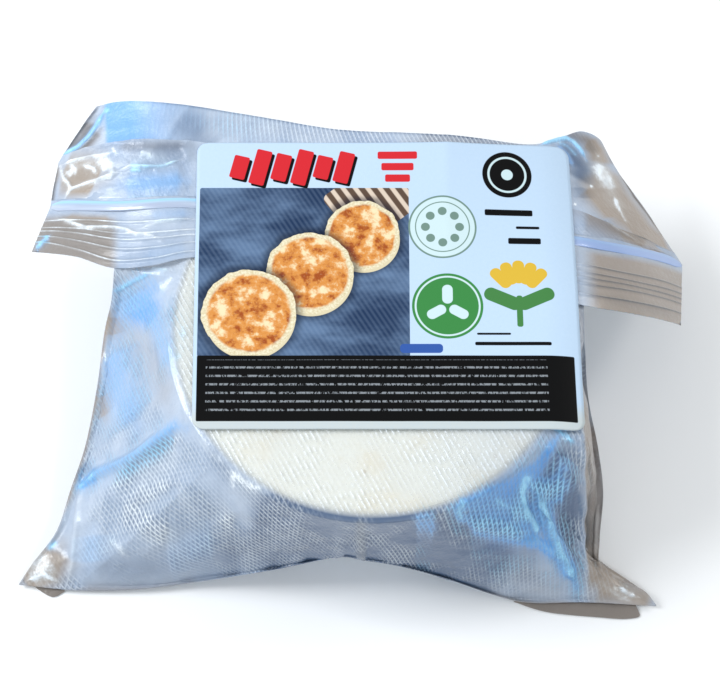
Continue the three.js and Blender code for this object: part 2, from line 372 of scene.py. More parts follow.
def fold_profiles(points, fold):
    """The fold's strength at each plan point, and that of the softer glow round it."""
    corners = np.array(fold.path, dtype=float)
    nearest = np.full(len(points), 1e9)
    along = np.zeros(len(points))
    beside = np.zeros(len(points))
    steps = np.linalg.norm(np.diff(corners, axis=0), axis=1)
    total = steps.sum()
    passed = 0.0
    for start, end, step in zip(corners, corners[1:], steps):
        span = end - start
        share = np.clip((points - start) @ span / step ** 2, 0, 1)
        away = np.linalg.norm(points - start - share[:, None] * span, axis=1)
        closer = away < nearest
        nearest = np.where(closer, away, nearest)
        along = np.where(closer, (passed + share * step) / total, along)
        turned = (points - start) @ np.array((span[1], -span[0])) / step
        beside = np.where(closer, turned, beside)
        passed += step
    taper = np.clip(8 * along * (1 - along), 0.35, 1)
    if fold.right_only:
        taper *= np.clip(beside / 0.8, 0, 1)
    away = nearest / (fold.width * np.clip(taper, 0.6, 1))
    return np.exp(-away ** 2) * taper, np.exp(-(away / GLOW_WIDTH) ** 2) * taper


def add_folds(mesh, folds):
    """Gives the mesh's points what the folds add to its skin, and returns their lift."""
    plan = np.array([vert.co.xy[:] for vert in mesh.verts])
    sums = {name: np.zeros(len(plan)) for name in ("lift", *SKIN_FIELDS)}
    for fold in folds:
        core, glow = fold_profiles(plan, fold)
        amounts = {name: getattr(fold, name) for name in ("lift", *FOLD_FIELDS)}
        amounts["tone"], amounts["cool"] = min(fold.tone, 0.0), max(fold.tone, 0.0)
        for name, amount in amounts.items():
            glowing = name == "gleam" or (name == "cool" and fold.gleam)
            soft = GLOW_SHARE if glowing else 0.0
            sums[name] += amount * ((1 - soft) * core + soft * glow)
        sums["blue"] += amounts["cool"] * glow * BLUE_SHARE
    for name in SKIN_FIELDS:
        layer = mesh.verts.layers.float.get(name) or mesh.verts.layers.float.new(name)
        for vert, value in zip(mesh.verts, sums[name]):
            vert[layer] = min(max(vert[layer] + float(value), -1.0), 1.0)
    return sums["lift"]


def mesh_grid(columns, rows):
    """A bmesh grid whose vertices hold their shares along and across, 0 to 1, in x and y."""
    mesh = bmesh.new()
    bmesh.ops.create_grid(mesh, x_segments=columns, y_segments=rows, size=0.5)
    bmesh.ops.translate(mesh, verts=mesh.verts, vec=(0.5, 0.5, 0))
    return mesh


def new_layers(mesh, *names):
    """The layer for a point's place on the flat sheet, in mm, and one for each name."""
    layers = mesh.verts.layers
    return layers.float_vector.new("flat"), *(layers.float.new(name) for name in names)


def crinkle(spot, level):
    """The sharp-crested noise of crumpled film, less its usual level."""
    return noise.ridged_multi_fractal(spot, 1.0, 2.1, 3, 1.0, 2.0) - level


def finish_mesh(mesh, name, material, merge=0.0):
    """Turns a bmesh into an object that rides on the part, with its faces outwards."""
    if merge:
        bmesh.ops.remove_doubles(mesh, verts=mesh.verts, dist=merge)
    bmesh.ops.recalc_face_normals(mesh, faces=mesh.faces)
    data = bpy.data.meshes.new(name)
    mesh.to_mesh(data)
    mesh.free()
    data.shade_smooth()
    data.materials.append(material)
    piece = bpy.data.objects.new(name, data)
    bpy.context.scene.collection.objects.link(piece)
    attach(piece, "root")
    return piece


# Materials ------------------------------------------------------------------------

class Graph:
    """Adds and links the nodes of one material or node group."""

    def __init__(self, tree):
        self.tree = tree

    def add(self, kind, inputs=(), **settings):
        node = self.tree.nodes.new(kind)
        for key, value in settings.items():
            setattr(node, key, value)
        for key, value in dict(inputs).items():
            self.put(node.inputs[key], value)
        return node

    def put(self, socket, value):
        if isinstance(value, bpy.types.NodeSocket):
            self.tree.links.new(value, socket)
        elif hasattr(value, "__len__") and len(value) == 3 and socket.type == "RGBA":
            socket.default_value = (*value, 1)
        else:
            socket.default_value = value

    def math(self, operation, first, second=0.0, third=0.0, clamp=False):
        inputs = {0: first, 1: second, 2: third}
        return self.add("ShaderNodeMath", inputs, operation=operation, use_clamp=clamp).outputs[0]

    def vector(self, operation, first, second=(0, 0, 0)):
        node = self.add("ShaderNodeVectorMath", {0: first, 1: second}, operation=operation)
        single = operation in ("DOT_PRODUCT", "LENGTH", "DISTANCE")
        return node.outputs["Value" if single else "Vector"]

    def mix(self, factor, first, second, blend="MIX"):
        node = self.add("ShaderNodeMix", data_type="RGBA", blend_type=blend)
        self.put(node.inputs[0], factor)
        self.put(node.inputs[6], first)
        self.put(node.inputs[7], second)
        return node.outputs[2]

    def span(self, value, low, high, start=0.0, end=1.0):
        inputs = {"Value": value, "From Min": low, "From Max": high, "To Min": start, "To Max": end}
        return self.add("ShaderNodeMapRange", inputs, interpolation_type="SMOOTHSTEP").outputs[0]

    def noise(self, vector, scale, detail=3.0, roughness=0.5):
        inputs = {"Vector": vector, "Scale": scale, "Detail": detail, "Roughness": roughness}
        return self.add("ShaderNodeTexNoise", inputs).outputs["Fac"]

    def attribute(self, name, output="Fac"):
        return self.add("ShaderNodeAttribute", attribute_name=name).outputs[output]

    def bump(self, height, strength, distance, under=None):
        inputs = {"Height": height, "Strength": strength, "Distance": distance}
        if under is not None:
            inputs["Normal"] = under
        return self.add("ShaderNodeBump", inputs).outputs[0]

    def group(self, tree, inputs):
        node = self.add("ShaderNodeGroup", node_tree=tree)
        for key, value in inputs.items():
            self.put(node.inputs[key], value)
        return node.outputs


FINISH_SOCKETS = {
    "specular": "Specular IOR Level",
    "coat": "Coat Weight",
    "coat_roughness": "Coat Roughness",
    "alpha": "Alpha",
}


def new_material(name):
    """An empty node material, its graph and its Principled shader, ready linked."""
    material = bpy.data.materials.new(name)
    material.use_nodes = True
    tree = material.node_tree
    tree.nodes.clear()
    graph = Graph(tree)
    shader = graph.add("ShaderNodeBsdfPrincipled")
    output = graph.add("ShaderNodeOutputMaterial")
    tree.links.new(shader.outputs[0], output.inputs["Surface"])
    return material, graph, shader


def set_finish(shader, roughness, **values):
    """Sets plain numbers on the shader's own sockets."""
    shader.inputs["Roughness"].default_value = roughness
    for name, value in values.items():
        shader.inputs[FINISH_SOCKETS[name]].default_value = value


def new_group(name, inputs, outputs):
    """An empty node group with the named sockets, its graph and its inner ends."""
    tree = bpy.data.node_groups.new(name, "ShaderNodeTree")
    for label, kind, default in inputs:
        socket = tree.interface.new_socket(name=label, in_out="INPUT", socket_type=kind)
        socket.default_value = default
    for label, kind in outputs:
        tree.interface.new_socket(name=label, in_out="OUTPUT", socket_type=kind)
    graph = Graph(tree)
    return tree, graph, graph.add("NodeGroupInput").outputs, graph.add("NodeGroupOutput").inputs


def shared_group(name, build):
    """The node group of that name, built the first time it is asked for."""
    return bpy.data.node_groups.get(name) or build(name)


def build_embossing(name):
    """Two crossing sets of fine ribs, as on embossed freezer film."""
    inputs = (
        ("Vector", "NodeSocketVector", (0, 0, 0)),
        ("Pitch", "NodeSocketFloat", 1.7),
        ("Crossing", "NodeSocketFloat", 0.5),
    )
    tree, graph, given, result = new_group(name, inputs, (("Height", "NodeSocketFloat"),))
    heights = []
    for angle in (math.radians(28), math.radians(-24)):
        across = graph.vector("DOT_PRODUCT", given["Vector"], (math.cos(angle), math.sin(angle), 0))
        turns = graph.math("DIVIDE", across, given["Pitch"])
        wave = graph.math("COSINE", graph.math("MULTIPLY", turns, math.tau))
        heights.append(graph.math("POWER", graph.span(wave, -1.0, 1.0), 2.0))
    crossing = graph.math("MULTIPLY", heights[1], given["Crossing"])
    graph.put(result["Height"], graph.math("MAXIMUM", heights[0], crossing))
    return tree


EDGE_SHARPNESS = 8.0


def build_round_mark(name):
    """A mask that is 1 inside a circle."""
    inputs = (
        ("Vector", "NodeSocketVector", (0, 0, 0)),
        ("Centre", "NodeSocketVector", (0, 0, 0)),
        ("Radius", "NodeSocketFloat", 5.0),
    )
    tree, graph, given, result = new_group(name, inputs, (("Mask", "NodeSocketFloat"),))
    away = graph.vector("DISTANCE", given["Vector"], given["Centre"])
    inside = graph.math("SUBTRACT", given["Radius"], away)
    graph.put(result["Mask"], graph.math("MULTIPLY_ADD", inside, EDGE_SHARPNESS, 0.5, clamp=True))
    return tree


def build_bar_mark(name):
    """A mask that is 1 inside a bar with round corners, which may be turned."""
    inputs = (
        ("Vector", "NodeSocketVector", (0, 0, 0)),
        ("Centre", "NodeSocketVector", (0, 0, 0)),
        ("Half Size", "NodeSocketVector", (5, 2, 0)),
        ("Turn", "NodeSocketFloat", 0.0),
        ("Corner", "NodeSocketFloat", 0.5),
    )
    tree, graph, given, result = new_group(name, inputs, (("Mask", "NodeSocketFloat"),))
    place = {"Vector": given["Vector"], "Center": given["Centre"], "Angle": given["Turn"]}
    turned = graph.add("ShaderNodeVectorRotate", place, rotation_type="Z_AXIS").outputs[0]
    local = graph.vector("SUBTRACT", turned, given["Centre"])
    beyond = graph.vector("SUBTRACT", graph.vector("ABSOLUTE", local), given["Half Size"])
    parts = graph.add("ShaderNodeSeparateXYZ", {0: beyond}).outputs
    over_x = graph.math("ADD", parts["X"], given["Corner"])
    over_y = graph.math("ADD", parts["Y"], given["Corner"])
    inner = graph.math("MINIMUM", graph.math("MAXIMUM", over_x, over_y), 0.0)
    outer_x = graph.math("POWER", graph.math("MAXIMUM", over_x, 0.0), 2.0)
    outer_y = graph.math("POWER", graph.math("MAXIMUM", over_y, 0.0), 2.0)
    outer = graph.math("SQRT", graph.math("ADD", outer_x, outer_y))
    away = graph.math("SUBTRACT", graph.math("ADD", inner, outer), given["Corner"])
    graph.put(result["Mask"], graph.math("MULTIPLY_ADD", away, -EDGE_SHARPNESS, 0.5, clamp=True))
    return tree


TOAST_PALE, TOAST_GOLD = srgb(238, 218, 176), srgb(214, 142, 72)
TOAST_BROWN, TOAST_FLOUR = srgb(158, 78, 36), srgb(240, 222, 184)
TOAST_RIM, TOAST_RIM_DARK = srgb(236, 228, 200), srgb(206, 190, 150)


def build_toasted_round(name):
    """A griddled round: pale rim, golden face and browner patches."""
    inputs = (
        ("Vector", "NodeSocketVector", (0, 0, 0)),
        ("Centre", "NodeSocketVector", (0, 0, 0)),
        ("Radius", "NodeSocketFloat", 10.0),
    )
    outputs = (
        ("Mask", "NodeSocketFloat"),
        ("Shadow", "NodeSocketFloat"),
        ("Color", "NodeSocketColor"),
    )
    tree, graph, given, result = new_group(name, inputs, outputs)
    mark = shared_group("round mark", build_round_mark)
    wobble = graph.noise(given["Vector"], 0.25, 2.0)
    radius = graph.math("ADD", given["Radius"], graph.math("MULTIPLY_ADD", wobble, 1.6, -0.3))
    place = {"Vector": given["Vector"], "Centre": given["Centre"], "Radius": radius}
    graph.put(result["Mask"], graph.group(mark, place)["Mask"])
    away = graph.vector("DISTANCE", given["Vector"], given["Centre"])
    share = graph.math("DIVIDE", away, radius)
    patches = graph.noise(given["Vector"], 0.22, 5.0, 0.62)
    fine = graph.noise(given["Vector"], 1.6, 3.0, 0.6)
    face = graph.mix(graph.span(patches, 0.36, 0.5), TOAST_PALE, TOAST_GOLD)
    face = graph.mix(graph.span(patches, 0.5, 0.64), face, TOAST_BROWN)
    face = graph.mix(graph.span(fine, 0.55, 0.8, 0, 0.4), face, TOAST_FLOUR)
    rim = graph.mix(graph.span(fine, 0.3, 0.7), TOAST_RIM, TOAST_RIM_DARK)
    graph.put(result["Color"], graph.mix(graph.span(share, 0.84, 0.92), face, rim))
    graph.put(result["Shadow"], graph.span(share, 1.0, 1.25, 1, 0))
    return tree


DOUGH_SPECK, DOUGH_GRAIN = srgb(150, 128, 92), srgb(206, 196, 168)


def arepa_dough(settings):
    """White corn dough, floury, with faint patches and a few dark specks."""
    material, graph, shader = new_material("arepa_dough")
    place = graph.add("ShaderNodeTexCoord").outputs["Object"]
    patches = graph.noise(place, 60.0, 4.0, 0.55)
    grain = graph.noise(place, 900.0, 3.0, 0.6)
    cells = graph.add("ShaderNodeTexVoronoi", {"Vector": place, "Scale": 130.0})
    specks = cells.outputs["Distance"]
    crumb, crust = tuple(settings.crumb), tuple(settings.crust)
    colour = graph.mix(graph.span(patches, 0.48, 0.75, 0, 0.6), crumb, crust)
    colour = graph.mix(graph.span(specks, 0.05, 0.1, 0.35, 0), colour, DOUGH_SPECK)
    colour = graph.mix(graph.span(grain, 0.35, 0.65, 0.12, 0), colour, DOUGH_GRAIN)
    graph.put(shader.inputs["Base Color"], colour)
    set_finish(shader, 0.72)
    height = graph.math("MULTIPLY_ADD", patches, 1.5, graph.math("MULTIPLY", grain, 0.25))
    graph.put(shader.inputs["Normal"], graph.bump(height, 0.7, 0.6 * MM))
    return material


# The film's further colours, beside those in its settings: cloud and smudge mottle it, the crest
# colour is a painted highlight on the ribs, the clear colour is the film's where it clings and
# shows in the haze and the painted highlight streaks over the food, the glint colour is that of
# painted highlights in the blue, and the deep colour is the strongest painted blue reflection.
FILM_CLOUD, FILM_SMUDGE = srgb(158, 176, 201), srgb(206, 216, 230)
FILM_CREST_HIGHLIGHT, FILM_CLEAR = srgb(226, 238, 250), srgb(240, 246, 250)
FILM_GLINT, FILM_DEEP_REFLECTION = srgb(160, 222, 255), srgb(84, 158, 232)

# How strongly the embossed ribs show: as faint painted highlight streaks away from folds,
# as stripes in the painted blue reflection, as painted shade in the gaps between crests, as a
# painted highlight on the crests, and as the share of the crossing set over the food.
FAINT_STREAKS = 0.42
BLUE_STRIPES = 0.35
GAP_SHADE = 0.45
CREST_HIGHLIGHT = 0.1
CROSSING_OVER_FOOD = 0.45
CREST_SHARPNESS = 2.2

# How much more the film covers where its hollows get painted shade, and how much its painted
# highlights cover.
HOLLOW_COVER = 0.12
WHITE_COVER = 0.92


def film_white(graph, flat, skin, crests, patchy):
    """Where creases and the crests of the ribs catch the light."""
    broken = graph.span(graph.noise(flat, 0.3, 1.5, 0.5), 0.3, 0.6, 0.5, 1.0)
    ragged = graph.span(graph.noise(flat, 1.5, 3.0, 0.6), 0.32, 0.68, 0.45, 1.5)
    uneven = graph.span(ragged, 0.45, 1.5, 0.82, 1.18)
    cores = graph.span(graph.math("MULTIPLY", skin["gleam"], uneven), 0.25, 1.0)
    shoulders = graph.math("MULTIPLY", skin["gleam"], 0.45)
    creases = graph.math("MULTIPLY_ADD", cores, 0.65, shoulders)
    faint = graph.math("MULTIPLY", patchy, FAINT_STREAKS)
    combed = graph.math("MULTIPLY", graph.math("MAXIMUM", skin["comb"], faint), crests)
    combed = graph.math("MULTIPLY", combed, ragged)
    return graph.math("MULTIPLY", graph.math("ADD", creases, combed, clamp=True), broken)


def film_colour(graph, flat, skin, settings, cool, hollow, crests, pressed):
    """The slack film's mottled tint, with the painted blue and brown reflections and the painted
    shade of its folds, and a painted highlight on its ribs' crests.
    """
    cloud = graph.noise(flat, 0.05, 3.0, 0.5)
    smudge = graph.noise(graph.vector("MULTIPLY", flat, (0.11, 0.05, 1)), 1.0, 4.0, 0.6)
    bluest = graph.span(skin["blue"], 0.35, 0.65)
    sheen = graph.mix(bluest, tuple(settings.sheen), FILM_DEEP_REFLECTION)
    # Painted shade in the folds' hollows and in the gaps between combed ribs' crests.
    gaps = graph.math("MULTIPLY", skin["comb"], graph.math("SUBTRACT", 1.0, crests))
    darker = graph.math("MULTIPLY_ADD", gaps, GAP_SHADE, hollow, clamp=True)
    warm = graph.math("MAXIMUM", skin["warm"], 0.0, clamp=True)
    colour = graph.mix(graph.span(cloud, 0.4, 0.62), tuple(settings.tint), FILM_CLOUD)
    colour = graph.mix(graph.span(smudge, 0.5, 0.66, 0.0, 0.32), colour, FILM_SMUDGE)
    colour = graph.mix(warm, colour, tuple(settings.warm))
    colour = graph.mix(cool, colour, sheen)
    colour = graph.mix(darker, colour, tuple(settings.shade), "MULTIPLY")
    # A painted highlight on the pressed ribs' crests.
    return graph.mix(graph.math("MULTIPLY", pressed, CREST_HIGHLIGHT), colour, FILM_CREST_HIGHLIGHT)


def film_alpha(graph, flat, skin, settings, slack, hollow, crests):
    """How much the film covers: over the food only its ribs' crests do, in pale streaks of painted
    highlight.
    """
    patches = graph.span(graph.noise(flat, 0.07, 2.0, 0.5), 0.38, 0.62, 0.12, 0.72)
    lengths = graph.span(graph.noise(flat, 0.5, 3.0, 0.7), 0.4, 0.6, 0.0, 1.0)
    streaks = graph.math("MULTIPLY", graph.math("MULTIPLY", crests, lengths), patches)
    blend = {0: skin["cover"], 2: graph.math("ADD", streaks, settings.cling), 3: slack}
    alpha = graph.add("ShaderNodeMix", blend, data_type="FLOAT").outputs[0]
    deeper = graph.math("MULTIPLY", hollow, skin["cover"])
    return graph.math("MULTIPLY_ADD", deeper, HOLLOW_COVER, alpha, clamp=True)


def clear_film(name, settings, slack, crossing=0.7, emboss=1.0, coat=0.45):
    """Embossed freezer film: clear where it clings, hazy and tinted where it is slack, with the
    painted highlights, reflections and shade that its folds and ribs give it.
    """
    material, graph, shader = new_material(name)
    flat = graph.attribute("flat", "Vector")
    skin = {field: graph.attribute(field) for field in (*SKIN_FIELDS, "cover")}
    least = CROSSING_OVER_FOOD * crossing
    second = graph.math("MULTIPLY_ADD", skin["cover"], crossing - least, least)
    place = {"Vector": flat, "Pitch": settings.rib_pitch / MM, "Crossing": second}
    ribs = graph.group(shared_group("embossed ribs", build_embossing), place)["Height"]
    crests = graph.math("POWER", ribs, CREST_SHARPNESS)
    patch = graph.span(graph.noise(flat, 0.05, 3.0, 0.6), 0.42, 0.62)
    smeared = graph.span(skin["warm"], 0.0, 1.0, emboss, 0.25 * emboss)
    patchy = graph.math("MULTIPLY", patch, smeared)
    shown = graph.math("MAXIMUM", patchy, skin["comb"], clamp=True)
    pressed = graph.math("MULTIPLY", ribs, shown)
    # The painted blue reflection runs in stripes along the ribs, and hollow is the painted shade,
    # held off where the blue is.
    stripes = BLUE_STRIPES * emboss
    striped = graph.math("MULTIPLY_ADD", ribs, stripes, 1 - stripes)
    cool = graph.math("MULTIPLY", skin["cool"], striped, clamp=True)
    sunk = graph.span(cool, 0.0, 1.0, -1.0, -0.25)
    hollow = graph.math("MULTIPLY", skin["tone"], sunk, clamp=True)

    white = film_white(graph, flat, skin, crests, patchy)
    # Painted highlights: cyan where the painted blue reflection spreads, white elsewhere.
    glint = graph.span(skin["blue"], 0.03, 0.23)
    glint = graph.mix(glint, tuple(settings.gleam), FILM_GLINT)
    colour = film_colour(graph, flat, skin, settings, cool, hollow, crests, pressed)
    colour = graph.mix(skin["cover"], FILM_CLEAR, colour)
    graph.put(shader.inputs["Base Color"], graph.mix(white, colour, glint))
    alpha = film_alpha(graph, flat, skin, settings, slack, hollow, crests)
    alpha = graph.math("MAXIMUM", alpha, graph.math("MULTIPLY", white, WHITE_COVER))
    graph.put(shader.inputs["Alpha"], alpha)
    set_finish(shader, 0.28, specular=0.4, coat=coat, coat_roughness=0.1)
    crumple = graph.bump(graph.noise(flat, 0.3, 5.0, 0.65), 1.0, 0.5 * MM)
    graph.put(shader.inputs["Normal"], graph.bump(pressed, 1.0, 0.26 * MM, crumple))
    return material


TRACK_MILKY, TRACK_PALE = srgb(176, 188, 212), srgb(198, 212, 232)
TRACK_BLUE, TRACK_BRIGHT = srgb(158, 184, 234), srgb(164, 220, 252)


def track_plastic():
    """Milky extruded plastic of the zip, with a painted highlight along its back edge, bluer
    towards its right end.
    """
    material, graph, shader = new_material("track_plastic")
    flat = graph.attribute("flat", "Vector")
    streaks = graph.noise(graph.vector("MULTIPLY", flat, (0.04, 1.2, 1)), 1.0, 3.0)
    colour = graph.mix(graph.span(streaks, 0.35, 0.7), TRACK_MILKY, TRACK_PALE)
    colour = graph.mix(graph.attribute("tone"), colour, TRACK_BLUE)
    colour = graph.mix(graph.attribute("gleam"), colour, TRACK_BRIGHT)
    graph.put(shader.inputs["Base Color"], colour)
    set_finish(shader, 0.28, alpha=0.86, coat=0.5, coat_roughness=0.1)
    graph.put(shader.inputs["Normal"], graph.bump(streaks, 0.5, 0.2 * MM))
    return material


class Mark(NamedTuple):
    """One plain bar of the label's print, in mm from the label's lower left corner."""
    centre: tuple
    size: tuple
    colour: tuple = ()
    turn: float = 0.0
    corner: float = 0.4


class Press:
    """Prints plain shapes on the label one over the other, and holds the colour so far."""

    def __init__(self, graph, flat, colour):
        self.graph = graph
        self.flat = flat
        self.colour = colour

    def lay(self, mask, colour):
        self.colour = self.graph.mix(mask, self.colour, colour)

    def inside_bar(self, mark):
        place = {"Vector": self.flat, "Centre": (*mark.centre, 0), "Half Size": (*mark.size, 0),
                 "Turn": mark.turn, "Corner": mark.corner}
        return self.graph.group(shared_group("bar mark", build_bar_mark), place)["Mask"]

    def bar(self, mark):
        self.lay(self.inside_bar(mark), mark.colour)

    def disc(self, centre, radius, colour):
        place = {"Vector": self.flat, "Centre": (*centre, 0), "Radius": radius}
        mark = shared_group("round mark", build_round_mark)
        self.lay(self.graph.group(mark, place)["Mask"], colour)

    def rings(self, centre, *rings):
        for radius, colour in rings:
            self.disc(centre, radius, colour)


GREEN, WHITE, GREY = srgb(62, 132, 70), srgb(200, 222, 226), srgb(112, 138, 128)
LEAF, YELLOW, BLUE = srgb(70, 126, 70), srgb(214, 176, 62), srgb(54, 88, 160)
CLOTH_DARK, CLOTH_PALE, CLOTH_THREAD = srgb(34, 54, 84), srgb(96, 120, 152), srgb(150, 172, 200)
SLAT_DARK, SLAT_PALE = srgb(92, 74, 62), srgb(214, 196, 178)
ROUND_SHADOW, ROUND_SIDE = srgb(22, 30, 48), srgb(214, 202, 168)
RULE_PALE = srgb(200, 208, 216)
# The grey-white that the paper fades to towards its bottom edge is a painted window reflection; the
# fibre colour is the paper's own.
PAPER_REFLECTION, PAPER_FIBRE = srgb(194, 202, 202), srgb(168, 196, 222)
PANEL = Mark((29, 45), (28, 24.5), corner=0.6)
SLATTED_CORNER = Mark((50, 68), (14, 9), turn=math.radians(-38), corner=2.0)
TOASTED_ROUNDS = (((44.5, 55.5), 9.6), ((30.5, 44.5), 11.2), ((14.5, 33.0), 12.0))
DARK_BAND = Mark((50.4, 11.5), (49.4, 9.3))
RULED_AREA = Mark((48, 12.2), (44.6, 7.4))
RULE_PITCH = 2.4


def print_panel(press):
    """Folded blue cloth under toasted rounds, with a pale slatted corner."""
    graph, flat = press.graph, press.flat
    weave = graph.math("SINE", graph.vector("DOT_PRODUCT", flat, (4.2, 2.6, 0)))
    folds = graph.noise(graph.vector("MULTIPLY", flat, (0.05, 0.11, 1)), 1.0, 4.0, 0.55)
    cloth = graph.mix(graph.span(folds, 0.32, 0.7), CLOTH_DARK, CLOTH_PALE)
    cloth = graph.mix(graph.span(weave, -1.0, 1.0, 0, 0.1), cloth, CLOTH_THREAD)
    slats = graph.math("SINE", graph.vector("DOT_PRODUCT", flat, (1.9, 1.3, 0)))
    wood = graph.mix(graph.span(slats, -0.2, 0.6), SLAT_DARK, SLAT_PALE)
    panel = Press(graph, flat, cloth)
    panel.bar(SLATTED_CORNER._replace(colour=wood))
    toasted = shared_group("toasted round", build_toasted_round)
    for centre, radius in TOASTED_ROUNDS:
        outputs = graph.group(toasted, {"Vector": flat, "Centre": (*centre, 0), "Radius": radius})
        panel.lay(graph.math("MULTIPLY", outputs["Shadow"], 0.7), ROUND_SHADOW)
        panel.disc((centre[0] + 0.4, centre[1] - 1.3), radius, ROUND_SIDE)
        panel.lay(outputs["Mask"], outputs["Color"])
    press.bar(PANEL._replace(colour=panel.colour))


def print_dark_band(press, ink):
    """A dark band with rows of broken pale rules."""
    graph, flat = press.graph, press.flat
    height = graph.add("ShaderNodeSeparateXYZ", {0: flat}).outputs["Y"]
    rows = graph.math("SINE", graph.math("MULTIPLY", height, math.tau / RULE_PITCH))
    breaks = graph.noise(graph.vector("MULTIPLY", flat, (1.1, 0.41, 1)), 1.0, 3.0, 0.8)
    rules = graph.math("MULTIPLY", graph.span(rows, 0.6, 0.85), graph.span(breaks, 0.44, 0.52))
    shown = graph.math("MULTIPLY", graph.math("MULTIPLY", rules, press.inside_bar(RULED_AREA)), 0.4)
    press.bar(DARK_BAND._replace(colour=graph.mix(shown, ink, RULE_PALE)))


def print_badges(press, ink):
    """A green badge with three kernels, a ring of dots, a dark round and a blue bar."""
    press.rings((67, 35), (9.4, GREEN), (8.7, WHITE), (8.2, GREEN))
    for turn in (0, math.tau / 3, -math.tau / 3):
        centre = (67 + 3.4 * math.sin(turn), 35 + 3.4 * math.cos(turn))
        press.bar(Mark(centre, (1.4, 2.7), WHITE, turn, 1.35))
    press.rings((66, 58), (9.2, GREY), (8.7, WHITE), (7.4, GREY), (7.1, WHITE))
    for step in range(8):
        angle = math.radians(45 * step)
        press.disc((66 + 4.6 * math.cos(angle), 58 + 4.6 * math.sin(angle)), 1.2, GREY)
    press.rings((84, 74), (6.8, ink), (5.4, WHITE), (4.8, ink), (1.6, WHITE))
    press.bar(Mark((60, 22.8), (5.6, 1.3), BLUE, 0.0, 1.0))


def print_sprig(press):
    """Yellow kernels in a fan above two green leaves and a stalk."""
    for turn in (-0.75, -0.38, 0.0, 0.38, 0.75):
        centre = (86 + 7.0 * math.sin(turn), 38 + 7.0 * math.cos(turn))
        press.bar(Mark(centre, (1.6, 3.4), YELLOW, turn, 1.5))
    for turn in (-1.15, 1.15):
        centre = (86 + 4.8 * math.sin(turn), 36 + 2.6 * math.cos(turn))
        press.bar(Mark(centre, (1.9, 5.2), LEAF, turn, 1.8))
    press.bar(Mark((86, 33.5), (0.8, 4.5), LEAF, 0.0, 0.6))


def print_headings(press, accent, ink):
    """A row of slanted bars with its dark shadow, and three bars beside it."""
    slant = math.radians(14)
    heights = (3.4, 5.2, 4.0, 5.2, 3.4, 4.6)
    for right, down, colour in ((0.7, 0.8, ink), (0, 0, accent)):
        for index, height in enumerate(heights):
            centre = (11.5 + 5.6 * index + right, 75.6 - down)
            press.bar(Mark(centre, (2.1, height), colour, slant, 0.5))
    for index in range(3):
        press.bar(Mark((54, 79.2 - 3.4 * index), (5.4 - index, 1.1), accent, 0.0, 0.5))


def print_rules(press, ink):
    """Dark rules in the right column."""
    rules = (
        ((84, 62.6), (6.5, 0.9)), ((89, 58.2), (3.2, 0.4)), ((88, 54.2), (4.4, 0.9)),
        ((84, 24.2), (10.0, 0.5)), ((79, 27), (4.5, 0.3)),
    )
    for centre, size in rules:
        press.bar(Mark(centre, size, ink))


def label_print(settings):
    """Label paper with its printed panel, band, badges, sprig, headings and rules."""
    material, graph, shader = new_material("label_print")
    ink, accent = tuple(settings.ink), tuple(settings.accent)
    flat = graph.attribute("flat", "Vector")
    height = graph.add("ShaderNodeSeparateXYZ", {0: flat}).outputs["Y"]
    # Towards its bottom edge the paper fades to a painted window reflection.
    paper = graph.mix(graph.span(height, 2.5, 9.0), PAPER_REFLECTION, tuple(settings.paper))
    fibres = graph.noise(flat, 1.1, 4.0, 0.6)
    paper = graph.mix(graph.span(fibres, 0.3, 0.7, 0, 0.12), paper, PAPER_FIBRE)
    press = Press(graph, flat, paper)
    print_panel(press)
    print_dark_band(press, ink)
    print_badges(press, ink)
    print_sprig(press)
    print_headings(press, accent, ink)
    print_rules(press, ink)
    graph.put(shader.inputs["Base Color"], press.colour)
    set_finish(shader, 0.55, specular=0.14)
    graph.put(shader.inputs["Normal"], graph.bump(fibres, 0.35, 0.1 * MM))
    return material


def studio_floor():
    """Pale seamless paper with a very faint mottle."""
    material, graph, shader = new_material("studio_floor")
    place = graph.add("ShaderNodeTexCoord").outputs["Object"]
    mottle = graph.noise(place, 6.0, 3.0)
    colour = graph.mix(mottle, srgb(244, 244, 244), srgb(250, 250, 250))
    graph.put(shader.inputs["Base Color"], colour)
    set_finish(shader, 0.8)
    return material


# Arepas ---------------------------------------------------------------------------

AREPA_TURNS = 132
FACE_RINGS = 20
RIM_STEPS = 12
RIM_RADIUS = 2.6
AREPA_INSET = 0.5
AREPA_GAP = 0.15
FLOOR_GAP = 0.1
RIM_WAVINESS = 0.045
DENT_WAVINESS = 0.16
DENT_DEPTH = 0.12
RIM_THINNING = 0.25


def arepa_profile(radius, thickness):
    """Half of an arepa's section, from the middle of its base round to its top."""
    flat = radius - RIM_RADIUS
    points = [(flat * step / FACE_RINGS, 0.0) for step in range(FACE_RINGS + 1)]
    for step in range(1, RIM_STEPS):
        angle = math.pi * step / RIM_STEPS - math.pi / 2
        x = flat + RIM_RADIUS * math.cos(angle)
        points.append((x, thickness / 2 * (1 + math.sin(angle))))
    points += [(flat * step / FACE_RINGS, thickness) for step in range(FACE_RINGS, -1, -1)]
    return points


